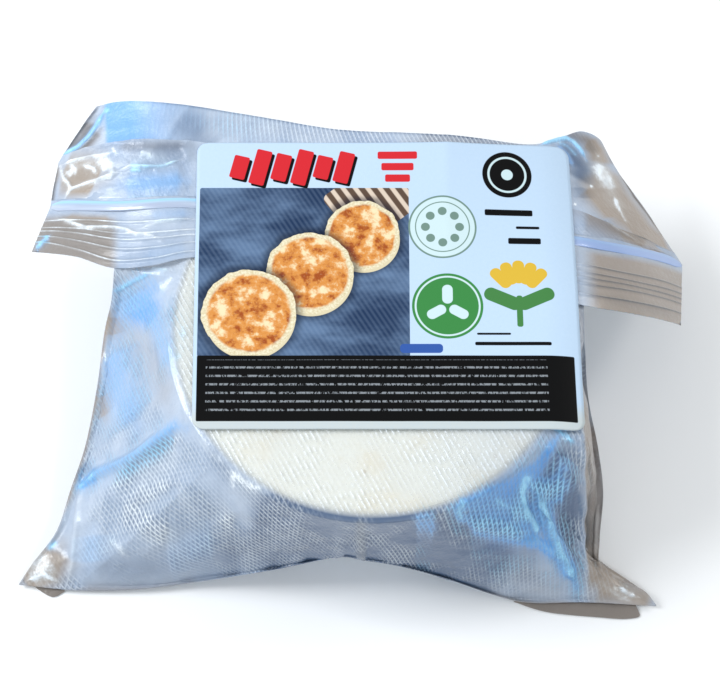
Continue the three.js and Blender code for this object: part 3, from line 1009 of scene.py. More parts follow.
def arepa_mesh(index, settings):
    """One arepa of the stack, counted from the floor."""
    mesh = bmesh.new()
    points = arepa_profile(AREPA_RADIUS - AREPA_INSET, AREPA_THICKNESS - AREPA_GAP)
    verts = [mesh.verts.new((x, 0, z)) for x, z in points]
    edges = [mesh.edges.new(pair) for pair in zip(verts, verts[1:])]
    bmesh.ops.spin(
        mesh, geom=verts + edges, axis=(0, 0, 1), cent=(0, 0, 0), angle=math.tau,
        steps=AREPA_TURNS, use_merge=True,
    )
    bmesh.ops.remove_doubles(mesh, verts=mesh.verts, dist=0.01)
    uneven = settings.unevenness / MM
    for vert in mesh.verts:
        out = vert.co.xy.length
        seed = Vector((vert.co.x, vert.co.y, 31.0 * index))
        wobble = noise.noise(seed * RIM_WAVINESS) * uneven
        dent = noise.fractal(seed * DENT_WAVINESS, 0.8, 2.0, 3) * DENT_DEPTH
        rim = smooth(out, AREPA_RADIUS * 0.7, AREPA_RADIUS)
        if out > 0.1:
            vert.co.xy *= 1 + wobble * rim / out
        side = 1 if vert.co.z > AREPA_THICKNESS / 2 else -1
        vert.co.z += (min(dent, 0.0) - RIM_THINNING * rim ** 6) * side
    lean = STACK_LEAN * (1 - index / (AREPA_COUNT - 1))
    for vert in mesh.verts:
        x, y = vert.co.x, vert.co.y + lean
        z = vert.co.z + index * AREPA_THICKNESS + FLOOR_GAP
        sag = (TOP_Z - top_height(x, y)) * (z / TOP_Z) ** 3
        vert.co = placed(x, y, z - sag)
    return mesh


# Film -----------------------------------------------------------------------------

FILM_COLUMNS = 760
TOP_RINGS = 14
SLOPE_RINGS = 92
UNDER_RINGS = 9
BASE_RINGS = 3
PLEAT_COUNT = 23
PLEAT_DEPTH = 0.7
PLEAT_SPAN = 20
RIM_ROUNDING = 1.2
RIM_SHARPNESS = 24
BACK_COVER = 0.34
BACK_WAVER = 1.3
BACK_CREASES = 17
BACK_CREASE_RADII = (53.5, 58, 64, 60)  # top, middle, and the low end across and back
# Over the food the film is hazier by the stack's left limb, and greyer over its right half: painted
# shade.
LEFT_HAZE = (0.3, 46, 52)  # its strength, and how far left it starts and ends
RIGHT_PAINTED_SHADE = (0.36, 0, 44)  # its strength, and how far right it starts and ends
RIM_GLEAM = 0.1
UNDER_SLACK = 0.4

# Folds in the film: their lift is real shape, while their colour fields paint shade, blue and brown
# reflections and highlights onto it.
LEFT_FOLDS = (
    Fold(((-69, 11), (-59.8, -4.7), (-53.1, -22.2)), 3.4, lift=-1.4, tone=-0.1, warm=0.25),
    Fold(((-60, 12), (-57, 0), (-53, -12)), 2.6, lift=0.3, tone=0.6),
    Fold(((-70, 4), (-68, -9), (-63, -22)), 4.2, lift=1.0, tone=0.8),
    Fold(((-72.4, -8), (-72, -15)), 2.2, warm=0.9),
    Fold(((-70, 11), (-70.6, 6)), 2.6, warm=0.9),
    Fold(((-49.2, 3.8), (-51.8, -10.3), (-48.7, -25.8)), 0.7, gleam=0.75),
    Fold(((-59.5, 18.6), (-54.2, 17.1)), 0.7, lift=0.3, gleam=0.9),
    Fold(((-70, 15.5), (-63.9, 16.4), (-59.2, 16.9)), 0.5, lift=0.3, tone=0.8, gleam=0.8),
    Fold(((-70, 14), (-64, 10), (-56, 16)), 4.5, tone=0.65),
    Fold(((-69.3, 18), (-72.3, 8), (-74.5, -7), (-77.7, -21.5), (-81.5, -31.5), (-85.5, -42)),
         1.0, warm=0.9),
    Fold(((-71, 8), (-73.3, -7), (-76.6, -21.5), (-80.2, -31.5), (-83.8, -42)), 0.5, gleam=0.3),
    Fold(((-66, 14), (-62, 9), (-58, 3)), 3.0, tone=0.6),
    Fold(((-48.7, -27.7), (-52.3, -26), (-57.8, -28.1), (-65.2, -29.6), (-73.4, -29.4),
          (-79, -31)),
         1.7, lift=1.9, tone=0.9, gleam=0.15),
    Fold(((-50.6, -28.8), (-56.2, -30.4), (-63.2, -32.4), (-70.4, -35)), 1.7, comb=1.4, gleam=0.1),
    Fold(((-73.4, -29.4), (-76, -29.8), (-79.5, -31)), 1.4, tone=1.5, gleam=0.5),
    Fold(((-50, -33), (-60, -35), (-70, -38)), 5.5, comb=0.45, gleam=0.06),
    Fold(((-50, -40), (-45, -45), (-38, -50)), 3.5, comb=0.45, gleam=0.06),
    Fold(((-51.9, -38.7), (-58, -38.7), (-62.2, -39), (-67, -42)),
         1.9, lift=0.9, comb=0.9, gleam=0.2),
    Fold(((-67, -41.5), (-60, -45.8), (-53.4, -48.3)), 2.8, lift=0.7, comb=1.2, gleam=0.1),
    Fold(((-70.8, -46.6), (-67.8, -49.3), (-65.6, -51.1)), 0.8, lift=0.5, gleam=0.6),
    Fold(((-40, -48.2), (-36.4, -48.5)), 1.4, comb=0.8, gleam=0.2),
    Fold(((-54, -48.5), (-49, -47), (-44, -45), (-38, -46)), 2.4, tone=-0.25),
    Fold(((-56, -52), (-47, -51), (-41, -50)), 2.2, lift=0.6, tone=0.3, comb=0.4),
    Fold(((-37.5, -39.9), (-34.8, -42.2), (-32, -44.2), (-28, -45.6)),
         0.8, lift=0.4, gleam=0.6, comb=0.4),
    Fold(((-37, -41), (-36.2, -43.6)), 0.5, gleam=0.6),
    Fold(((-45.8, -30.6), (-42.9, -34.3), (-39.4, -38)), 0.5, gleam=0.4),
    Fold(((-44, -33), (-38, -40), (-31, -46), (-22, -51)), 1.8, tone=-0.35, comb=0.3),
    Fold(((-36.9, -52.6), (-27.1, -51.3), (-16.3, -52.4)), 2.6, lift=0.5, comb=0.5),
    Fold(((-78, -31), (-79.6, -39.4), (-81, -50.4), (-82.2, -56)), 0.8, lift=0.6, gleam=0.45),
    Fold(((-75, -44), (-76, -52)), 3.5, tone=0.4, comb=0.3),
    Fold(((-95, -55), (-88, -52), (-85, -46)), 5.0, lift=0.6, warm=1.3, tone=-0.1),
    Fold(((-93, -54.2), (-86, -49)), 4.0, gleam=0.55),
    Fold(((-93.4, -54.4), (-88.5, -53), (-84.5, -55)), 0.45, lift=0.5, warm=0.3, gleam=0.8),
    Fold(((-87.8, -46.1), (-86.5, -45.3), (-85.1, -44.3)), 0.7, tone=0.6, gleam=0.8),
    Fold(((-92, -50.5), (-88, -48)), 0.5, gleam=0.6),
    Fold(((-82, -57), (-60, -57.3), (-44, -55.8)), 1.4, warm=0.5, tone=-0.3),
    Fold(((-78, -53), (-60, -53), (-46, -52.5), (-30, -52)), 2.8, tone=-0.5),
)
FRONT_FOLDS = (
    Fold(((-37, -51.5), (-24, -52), (-8, -55), (6, -55), (20, -55), (42, -54)), 6.0, tone=-1.15),
    Fold(((-30, -49), (-18, -53.2), (-6, -54.4), (4, -55)), 3.6, tone=-0.7),
    Fold(((26, -50), (40, -46), (51, -41), (52, -52)), 7.0, tone=-0.8),
    Fold(((44, -30), (51, -33), (53.5, -42), (52, -50)), 3.6, tone=-0.25),
    Fold(((27, -49.8), (36, -48.4), (43, -45)), 2.8, tone=0.7),
    Fold(((42, -41), (47, -48), (54, -57)), 2.2, tone=0.9),
    Fold(((-4.5, -54.5), (-2.8, -54.9), (-2.2, -56)), 0.9, lift=1.0, warm=0.5, gleam=0.12),
    Fold(((-9.9, -53.9), (-8.2, -55.4)), 1.2, lift=0.5, gleam=0.1),
    Fold(((10.5, -53.4), (13.8, -53), (16.4, -53.4)), 1.1, lift=0.4, tone=1.3, comb=0.25),
    Fold(((22.9, -47.5), (23.2, -49.3), (22, -50.9), (23.7, -51.3)),
         0.7, lift=0.5, tone=2.2, gleam=0.6),
    Fold(((23.7, -51.2), (27.5, -51), (33.1, -51), (38, -50.9), (40.7, -50.2)),
         1.4, lift=0.9, tone=2.5, comb=1.1, gleam=0.35),
    Fold(((31, -46.5), (33.3, -47), (35.9, -47)), 0.8, lift=0.4, tone=2.2, gleam=0.45),
    Fold(((35.8, -48.6), (38.6, -46.9), (41.7, -47.5)),
         2.1, lift=0.6, tone=2.5, comb=0.8, gleam=0.35),
    Fold(((20, -51), (36, -43.2), (44, -36.4), (50, -28)), 1.3, tone=1.2),
    Fold(((30, -50), (42, -42), (52, -33)), 2.4, tone=-0.6),
    Fold(((41.8, -39.2), (39.7, -41), (39.1, -43.2), (39.7, -45.7), (41.5, -47), (42.7, -48.5),
          (42.8, -51)),
         0.8, lift=1.0, tone=2.6, gleam=1.0),
    Fold(((40.6, -43.4), (42.1, -46), (44.1, -48.4)), 0.8, lift=-0.7, tone=-1.0),
    Fold(((41.7, -41.1), (43.6, -43.1), (45.4, -45.3), (47, -48.2), (48.4, -50.1), (50.5, -53.1),
          (53.3, -55.6), (54.7, -57.8)),
         1.3, lift=1.5, tone=2.6, gleam=0.75, comb=0.5),
    Fold(((41.9, -41.2), (45.4, -40.9), (48.1, -39.8), (51, -39.3)),
         1.8, lift=0.8, tone=2.6, comb=1.4, gleam=0.35),
    Fold(((39.3, -52.4), (43.1, -51.4), (46.6, -52.2), (48.9, -53.1)),
         1.0, lift=0.7, tone=2.2, gleam=0.35),
    Fold(((33.4, -57.1), (33.9, -57.9)), 0.4, gleam=0.6),
    Fold(((36, -56.5), (44.8, -57.5), (52, -58.1)), 2.2, comb=0.2, warm=0.2),
    Fold(((46.9, -28.3), (49.1, -29.3), (50.9, -30.8), (53.2, -31.7)), 0.5, tone=0.6, gleam=0.7),
    Fold(((51, -34.8), (50.4, -38)), 1.8, tone=0.8),
    Fold(((49.5, -43), (52.5, -49), (54.5, -55)), 2.0, tone=-0.35, warm=0.35, comb=0.45),
    Fold(((10, -57.2), (30, -59.4), (44, -61), (58, -61)), 1.0, warm=0.55),
)
RIGHT_FOLDS = (
    Fold(((55, -27), (54.8, -32.8), (55.3, -36), (55.7, -41.4), (56.3, -46.6), (56.8, -51.8),
          (57.5, -60)),
         0.9, lift=0.8, gleam=0.12),
    Fold(((57.7, -61), (57, -51.8), (56.5, -46.6), (55.9, -41.4), (55.5, -36), (55, -32.8),
          (54, -24), (53, -14)),
         10.0, warm=1.05, tone=-0.1, right_only=True),
    Fold(((53.5, -22), (52, -8), (51, 4), (49, 20), (43, 36)),
         12.0, warm=0.42, tone=-0.1, right_only=True),
    Fold(((56, -30), (58.8, -36.5), (58.2, -48), (61, -54.9)), 0.7, lift=-0.8, tone=-0.5),
    Fold(((60.2, -37), (60, -44), (59.8, -50)), 0.7, lift=0.6, gleam=0.25),
    Fold(((60, -55), (68.6, -58.3), (76, -61.3)), 5.0, lift=0.5, warm=1.0),
    Fold(((64, -56.5), (70, -59), (76, -61)), 3.0, gleam=0.25),
    Fold(((66.4, -57), (68.7, -58.2), (70.8, -59)), 0.5, lift=0.5, gleam=0.9),
    Fold(((61, -56), (66, -59), (70, -60.6)), 0.5, gleam=0.3),
)


def back_creases():
    """Creases that run down the film behind the stack, from its rim to the fold below."""
    creases = []
    for index in range(BACK_CREASES):
        sway = math.sin(5.1 * index)
        start = math.radians(14 + 8.8 * index + 3 * sway)
        end = start + 0.07 * math.sin(2.3 * index + 1)
        high, half, across, back = BACK_CREASE_RADII
        top = (high * math.cos(start), high * math.sin(start))
        middle = (half * math.cos(end - 0.02), half * math.sin(end - 0.02))
        low = (across * math.cos(end), STACK_LEAN * 0.8 + back * math.sin(end))
        # Each crease lifts the film and paints highlights along itself, with blue reflection where
        # its tone is above 0 and shade where it is below.
        creases.append(Fold(
            (top, middle, low), 0.9 + 0.5 * abs(sway), lift=1.1 * math.cos(3.7 * index),
            tone=0.4 * sway, gleam=0.3 + 0.3 * math.cos(3.7 * index), comb=0.3,
        ))
    return tuple(creases)


FILM_FOLDS = LEFT_FOLDS + FRONT_FOLDS + RIGHT_FOLDS + back_creases()


def behind(point):
    """0 where the film faces forwards, eased to 1 behind the middle of the stack."""
    return smooth(point.y, 12, 30)


def plateau_radius(angle, label):
    """How far the flat top reaches: the arepa's rim, or the label's corner past it."""
    rim = AREPA_RADIUS + FILM_GAP
    x, y = math.cos(angle), math.sin(angle)
    if x <= 0 or y > 0.1:
        return rim
    to_right = (LABEL_CENTRE.x + label.width / (2 * MM)) / x
    to_low = (LABEL_CENTRE.y - label.length / (2 * MM)) / y if y < 0 else math.inf
    return max(rim, min(to_right, to_low) - 1)


class PillowEdge:
    """The pillow's closed edge, read by the share of the way round."""

    def __init__(self):
        self.runs = [Run(corners) for corners, *_ in EDGE_RUNS]

    def at(self, share):
        """The edge's point there, and the angle at which its film leaves the stack."""
        share = share % 1.0
        for run, (_, start, end, part) in zip(self.runs, EDGE_RUNS):
            if share < part:
                return run.at(share / part), start + (end - start) * share / part
            share -= part
        return self.runs[0].at(0.0), EDGE_RUNS[0][1]


def film_rings():
    """The zone and share of every ring, from the top's middle round to the base's."""
    rings = [("top", 1 - (1 - step / TOP_RINGS) ** 2) for step in range(TOP_RINGS + 1)]
    rings += [("slope", step / SLOPE_RINGS) for step in range(1, SLOPE_RINGS + 1)]
    rings += [("under", 1 - step / UNDER_RINGS) for step in range(UNDER_RINGS + 1)]
    rings += [("base", 1 - step / BASE_RINGS) for step in range(1, BASE_RINGS + 1)]
    return rings


def fall_power(degrees):
    """The power by which the film falls where it leaves the stack in that direction."""
    turned = degrees - 360 if degrees > FALLS[-1][0] else degrees
    return float(np.interp(turned, *zip(*FALLS)))


def film_point(place, zone, share, label):
    """A point of the pillow's film that leads to that place on its edge."""
    edge, degrees = place
    angle = math.radians(degrees)
    waver = BACK_WAVER * behind(edge) * noise.noise(Vector((degrees * 0.11, 5.0, 0.0)))
    edge = edge + Vector((math.cos(angle), math.sin(angle), 1.5)) * waver
    if zone == "base":
        radius = AREPA_RADIUS * share
        return Vector((radius * math.cos(angle), STACK_LEAN + radius * math.sin(angle), 0))
    if zone == "top":
        radius = plateau_radius(angle, label) * share
        x, y = radius * math.cos(angle), radius * math.sin(angle)
        return Vector((x, y, top_height(x, y) - RIM_ROUNDING * share ** RIM_SHARPNESS))
    upper = zone == "slope"
    start = film_point(place, "top" if upper else "base", 1.0, label)
    span = (edge - start).xy.length
    slope_end = max(SLOPE_SHARE, 1 - SEAM_WIDTH / max(span, SEAM_WIDTH))
    down = min(1.0, share / slope_end)
    power = fall_power(degrees) if upper else UNDER_FALL
    fall = (1 - down) ** power if power >= 1 else 1 - down ** (1 / power)
    ease = min(1.0, span / PLEAT_SPAN + 0.5 * behind(edge)) * math.sin(math.pi * share)
    pleat = PLEAT_DEPTH * ease * math.sin(PLEAT_COUNT * angle)
    seam_z = edge.z + (SEAM_HALF_THICKNESS if upper else -SEAM_HALF_THICKNESS)
    point = start.lerp(edge, share)
    point.z = max(0.3, seam_z + (start.z - seam_z) * fall + pleat)
    return point


def flattened(points):
    """Each point's distance from the first one, measured along the film."""
    lengths = [0.0]
    for start, end in zip(points, points[1:]):
        lengths.append(lengths[-1] + (end - start).length)
    return lengths


def film_cover(point, zone, share):
    """How much of what is under the film it hides: 0 where it clings, 1 where it is slack."""
    slack = 1 - (1 - BACK_COVER) * behind(point)
    if zone not in ("top", "base"):
        return slack
    out = point.xy.length if zone == "top" else AREPA_RADIUS * share
    rim = smooth(out, AREPA_RADIUS - 2.2, AREPA_RADIUS - 0.9)
    # Hazier over the food's left limb, and greyer over its right half, which is painted shade.
    left, right = smooth(-point.x, *LEFT_HAZE[1:]), smooth(point.x, *RIGHT_PAINTED_SHADE[1:])
    return max(rim * slack, LEFT_HAZE[0] * left + RIGHT_PAINTED_SHADE[0] * right)


def film_mesh(label):
    """The filled bag's film as one closed skin, with what its material needs to know."""
    rings = film_rings()
    mesh = mesh_grid(FILM_COLUMNS, len(rings) - 1)
    flat, cover, slack, gleam = new_layers(mesh, "cover", "slack", "gleam")
    outline = PillowEdge()
    table = []
    for column in range(FILM_COLUMNS + 1):
        place = outline.at(column / FILM_COLUMNS)
        points = [film_point(place, zone, share, label) for zone, share in rings]
        table.append((points, flattened(points)))
    for vert in mesh.verts:
        ring = round(vert.co.y * (len(rings) - 1))
        points, lengths = table[round(vert.co.x * FILM_COLUMNS)]
        zone, share = rings[ring]
        point, reach = points[ring], lengths[ring]
        angle = math.atan2(point.y, point.x)
        vert[flat] = Vector((reach * math.cos(angle), reach * math.sin(angle), 0))
        vert[cover] = film_cover(point, zone, share)
        if zone in ("slope", "under"):
            ends = smooth(share, 0.02, 0.22) * (1 - smooth(share, 0.92, 1.0))
            vert[slack] = ends * (1.0 if zone == "slope" else UNDER_SLACK)
        if zone in ("top", "slope"):
            past_rim = point.xy.length - AREPA_RADIUS
            vert[gleam] = RIM_GLEAM * math.exp(-((past_rim - 0.5) / 0.5) ** 2)
        vert.co = point
    bmesh.ops.remove_doubles(mesh, verts=mesh.verts, dist=0.005)
    bmesh.ops.recalc_face_normals(mesh, faces=mesh.faces)
    mesh.normal_update()
    lift = add_folds(mesh, FILM_FOLDS)
    for index, vert in enumerate(mesh.verts):
        spot = vert.co.copy()
        waves = 0.5 * noise.noise(spot * 0.06) + 0.4 * noise.noise(spot * 0.17)
        amount = lift[index] + waves + 0.35 * crinkle(spot * 0.09, 1.2)
        moved = vert.co + vert.normal * amount * vert[slack]
        vert.co = placed(moved.x, moved.y, max(moved.z, 0.0))
    return mesh


def flap_mesh(outer, inner):
    """A small flat flap of film on the floor between two edges in plan."""
    mesh = mesh_grid(60, 12)
    flat, cover, warm, tone = new_layers(mesh, "cover", "warm", "tone")
    outer_run, inner_run = Run(outer), Run(inner)
    for vert in mesh.verts:
        along, across = vert.co.x, vert.co.y
        plan = outer_run.at(along).lerp(inner_run.at(along), across)
        vert[flat] = Vector((plan.x, plan.y, 0))
        # The flap is laid over with the painted brown reflection, darkened by painted shade.
        vert[cover], vert[warm], vert[tone] = 1.0, 1.0, -0.5
        height = 0.35 + 0.5 * across + 0.15 * noise.noise(plan * 0.3)
        vert.co = placed(plan.x, plan.y, height)
    return mesh


# Zip sheet ------------------------------------------------------------------------

BAND_COLUMNS = 380
BAND_ROWS = 110
BAND_UNDER_ROWS = 16
BAND_REACH = 1.14
BAND_COVER = 0.95
BAND_DROP = 0.8
BAND_THICKNESS = 0.06
RIB_HEIGHT = 0.6
RIB_WIDTH = 0.02
RIB_GLINT_WIDTH = 0.012
# How far out the band's ends take the painted brown reflection and painted shade, in mm left and
# right of the axis.
BAND_LEFT_END = (67.2, 71)
BAND_RIGHT_END = (55, 61)
LIP_COLUMNS = 420
LIP_ROWS = 72
LIP_GAP = 0.1
TRACK_COLUMNS = 260
TRACK_SIDES = 20
TRACK_HALF_WIDTH = 1.5
TRACK_HALF_HEIGHT = 0.3
TRACK_RISE = 0.12
TRACK_GLINT = (2.25, 0.4)  # direction round the bead, in radians, and its spread

# The flat sheet that the patterns of the zip's pieces lie on, in mm.
SHEET_LENGTH = 185
BAND_FLAT_WIDTH = 22
LIP_FLAT_WIDTH = 30
LIP_PATTERN_SHIFT = 9

# Folds of the lips and the band: their lift is real shape, while their colour fields paint shade,
# blue and brown reflections and highlights onto the film.
LEFT_LIP_FOLDS = (
    Fold(((-85.5, 52), (-79, 50), (-73, 47)), 5.0, warm=1.3, tone=-0.15, gleam=0.12),
    Fold(((-84, 46), (-75, 44)), 2.2, warm=0.7),
    Fold(((-85.3, 54.2), (-80.3, 54.2), (-75.9, 53.7), (-72.5, 53.2), (-69.9, 53.5)),
         0.45, lift=0.9, gleam=0.85),
    Fold(((-72.5, 52.7), (-71.1, 49.6), (-70.1, 46.7), (-71, 45.5)), 0.6, lift=0.9, gleam=0.7),
    Fold(((-75, 53), (-72, 51), (-70.6, 47.5)), 1.7, gleam=0.34),
    Fold(((-73.8, 52.4), (-73, 50.2), (-72.6, 48)), 0.35, lift=0.4, gleam=0.6),
    Fold(((-82.6, 53.4), (-81, 51.6), (-80.9, 49.4)), 0.35, lift=0.4, gleam=0.5),
    Fold(((-84.3, 43.1), (-82.3, 45.7), (-78.3, 46.2), (-73.1, 46.2), (-70.5, 45.4)),
         0.5, lift=0.9, gleam=1.0),
    Fold(((-85.7, 55.3), (-84.7, 51.2), (-83.7, 48.1)), 0.5, lift=0.6, gleam=0.6),
    Fold(((-86.5, 56), (-87, 50), (-88, 42)), 0.8, tone=-0.9, warm=0.8),
    Fold(((-84.5, 53.5), (-79, 52.8), (-73, 51), (-71.5, 47)), 1.8, gleam=0.3),
    Fold(((-70, 50), (-62, 49), (-54, 50)), 1.8, gleam=0.28),
    Fold(((-83.8, 52), (-82.4, 50.3), (-81.6, 52.4)), 0.6, lift=0.5, gleam=0.8),
    Fold(((-78.5, 51.7), (-75.8, 50), (-74.9, 47.9)), 0.45, lift=0.7, gleam=0.9),
    Fold(((-84.5, 50.5), (-83, 48), (-82, 45.5)), 0.4, lift=0.5, gleam=0.8),
    Fold(((-76, 45.2), (-72, 46.5), (-68, 46.8)), 0.4, lift=0.4, gleam=0.8),
    Fold(((-68.9, 47.3), (-65.5, 48.4), (-60.9, 47.3), (-56.3, 47.5), (-51.3, 49.1)),
         0.5, lift=0.7, gleam=0.9),
    Fold(((-65.5, 47.1), (-62.1, 46.1)), 0.6, lift=0.5, gleam=0.8),
    Fold(((-62.9, 51.7), (-59.7, 50.4)), 0.9, lift=0.6, gleam=0.9),
    Fold(((-70.8, 55.1), (-69, 51.9)), 0.5, lift=0.4, gleam=0.6),
    Fold(((-68, 43), (-59.9, 42.4), (-50, 42.4)), 3.0, tone=0.7),
    Fold(((-68, 49), (-58, 49.5), (-49, 50)), 3.6, tone=-0.35),
    Fold(((-70, 54.5), (-60, 53.4), (-49, 53)), 1.6, tone=-0.3, warm=0.3),
    Fold(((-60, 52), (-53, 52), (-46, 52)), 3.4, tone=-0.25),
    Fold(((-82.1, 42.4), (-74.6, 40.9), (-66, 38.6), (-52, 37.6)), 0.5, lift=0.8, gleam=0.7),
)
RIGHT_LIP_FOLDS = (
    Fold(((55.9, 38.5), (59.2, 39.2), (63.7, 37.9), (68, 36.5), (74.1, 36.2), (81.5, 37.8)),
         0.7, tone=-0.9, warm=0.4),
    Fold(((56.7, 38.1), (61.4, 36.3), (66.1, 34.6), (71.3, 33.5)), 0.45, lift=0.8, gleam=0.45),
    Fold(((56, 37), (64, 35), (76, 35)), 5.0, warm=0.8, tone=-0.35),
    Fold(((66, 35), (74, 34.5), (82, 36)), 3.0, warm=0.5),
)
FRONT_LIP_FOLDS = LEFT_LIP_FOLDS + RIGHT_LIP_FOLDS
BACK_LIP_FOLDS = (
    Fold(((-72, 45), (-74, 80)), 14.0, tone=1.35, right_only=True),
    Fold(((-85, 57), (-79, 60), (-76, 65)), 2.4, warm=0.9, tone=-0.6),
    Fold(((-54, 61), (-48, 57), (-45, 51)), 5.5, tone=-0.5),
    Fold(((-46, 60.5), (-20, 57.5), (10, 55)), 5.0, tone=-0.1, comb=0.35),
    Fold(((10, 55), (30, 54.5), (44, 55)), 4.0, tone=-0.3, warm=0.3, comb=0.35),
    Fold(((-74, 68.5), (-58, 66.5), (-44, 64.3), (-8, 57.8), (26, 56.4), (44, 56.3)),
         0.5, tone=-0.6),
    Fold(((-86, 57), (-80.5, 58), (-77.5, 60.2), (-75.4, 62.8), (-72.9, 67.2)),
         0.7, lift=0.7, tone=1.4, gleam=0.8),
    Fold(((-88, 54), (-80.5, 62.3), (-74, 70)), 0.7, tone=-0.8, warm=0.5),
    Fold(((-80.5, 55.7), (-76.5, 58.9), (-74.3, 61.3)), 1.6, warm=0.7, tone=-0.4),
    Fold(((-73.4, 67.6), (-71.8, 66.6)), 0.8, gleam=0.9),
    Fold(((45.3, 55.8), (46.7, 56.9), (48.1, 57.8), (50.4, 58.9), (52.9, 59.9), (54.8, 59.2),
          (56.8, 57.3), (58.4, 54.2)),
         0.6, lift=1.3, tone=1.2, gleam=1.1),
    Fold(((49, 55.5), (53.5, 55), (57, 51), (55, 46)), 3.6, lift=0.4, tone=-0.9),
    Fold(((50, 57), (53, 54.5), (54.5, 51)), 0.8, tone=0.9),
    Fold(((45, 58), (52, 61.5), (59, 61), (61, 56)), 2.4, tone=-0.45, warm=0.6),
    Fold(((56, 45), (57, 41)), 3.0, tone=-0.5),
    Fold(((50, 58), (53, 57.4), (56, 54.5)), 0.5, tone=0.4, gleam=0.5),
    Fold(((59, 62), (62.3, 59.4), (63.5, 54.9)), 3.2, warm=0.8),
    Fold(((61, 55), (66, 46), (74, 38), (84, 36)), 6.0, warm=1.3, tone=-0.1),
    Fold(((62.5, 52.9), (63.3, 51.2), (64.1, 49.5)), 1.0, lift=0.8, gleam=1.2),
    Fold(((62, 54.6), (62.5, 51.8)), 0.4, lift=0.4, gleam=0.6),
    Fold(((63.6, 50.6), (65.2, 48.2)), 0.45, lift=0.4, gleam=0.7),
    Fold(((61.2, 54.8), (63, 51), (65, 47)), 2.6, gleam=0.7),
    Fold(((61, 57), (64, 49), (68, 40)), 2.8, gleam=0.22),
    Fold(((58, 46), (62, 42), (66, 38)), 4.0, warm=0.9),
    Fold(((66.2, 45.2), (66.6, 43), (67.2, 41.4)), 0.6, lift=0.6, gleam=0.85),
    Fold(((67.2, 42.2), (68, 40.2), (69.2, 38.2)), 0.4, lift=0.4, gleam=0.6),
    Fold(((61.6, 57.7), (62.2, 57.3)), 0.7, gleam=0.6),
    Fold(((59.2, 46.5), (59.8, 45.9)), 0.5, gleam=1.0),
    Fold(((54.3, 39.1), (54.9, 38.5)), 0.5, gleam=1.0),
    Fold(((64, 61), (72, 49), (80, 41)), 0.45, tone=-0.7, warm=0.6),
)
BAND_FOLDS = (
    Fold(((-86, 38.8), (-81.9, 35.7), (-77.5, 33), (-70.1, 31.3), (-66.3, 29.9), (-63.3, 27.6),
          (-58.3, 26.6), (-56.2, 24.9)),
         0.6, lift=0.9, gleam=0.95),
    Fold(((-84, 38), (-78, 35.4), (-70, 33.4)), 1.3, warm=0.8),
    Fold(((-62.3, 29.5), (-56.9, 30.7), (-48.9, 31.1)), 0.6, lift=0.5, gleam=0.7),
    Fold(((-87.8, 34), (-90.1, 32.9), (-91.9, 31.6)), 0.8, lift=0.5, tone=1.0, gleam=0.8),
    Fold(((-60, 33), (-49, 33)), 1.6, tone=0.3),
    Fold(((-61, 21), (-49, 22)), 2.4, tone=0.2),
    Fold(((60, 10), (72, 11.5), (83, 15)), 1.4, tone=-0.2),
)


class ZipSheet:
    """The zip sheet's plan: 0 is the band's edge, 1 the track and 2 the lip's free edge."""

    def __init__(self):
        self.lines = [Run(line) for line in (BAND_EDGE, TRACK_LINE, LIP_FOLD, LIP_EDGE)]

    def at(self, along, across):
        place = across if across <= 1 else 1 + 2 * (across - 1)
        line = min(int(place), len(self.lines) - 2)
        start = self.lines[line].at(along)
        return start.lerp(self.lines[line + 1].at(along), place - line)


def under_label(x, label):
    """1 where the label covers the sheet, eased to 0 beside it."""
    half = label.width / (2 * MM)
    return 1 - smooth(abs(x - LABEL_CENTRE.x), half - 1, half + 3)


def rib_distance(along, across):
    """How far that place is from the nearest rib's crest, as a share of the band."""
    spread = 0.72 + 0.28 * smooth(along, 0, 0.12)
    places = [left + (right - left) * along for left, right in RIBS]
    return min(abs(across - 0.47 - (place - 0.47) * spread) for place in places)


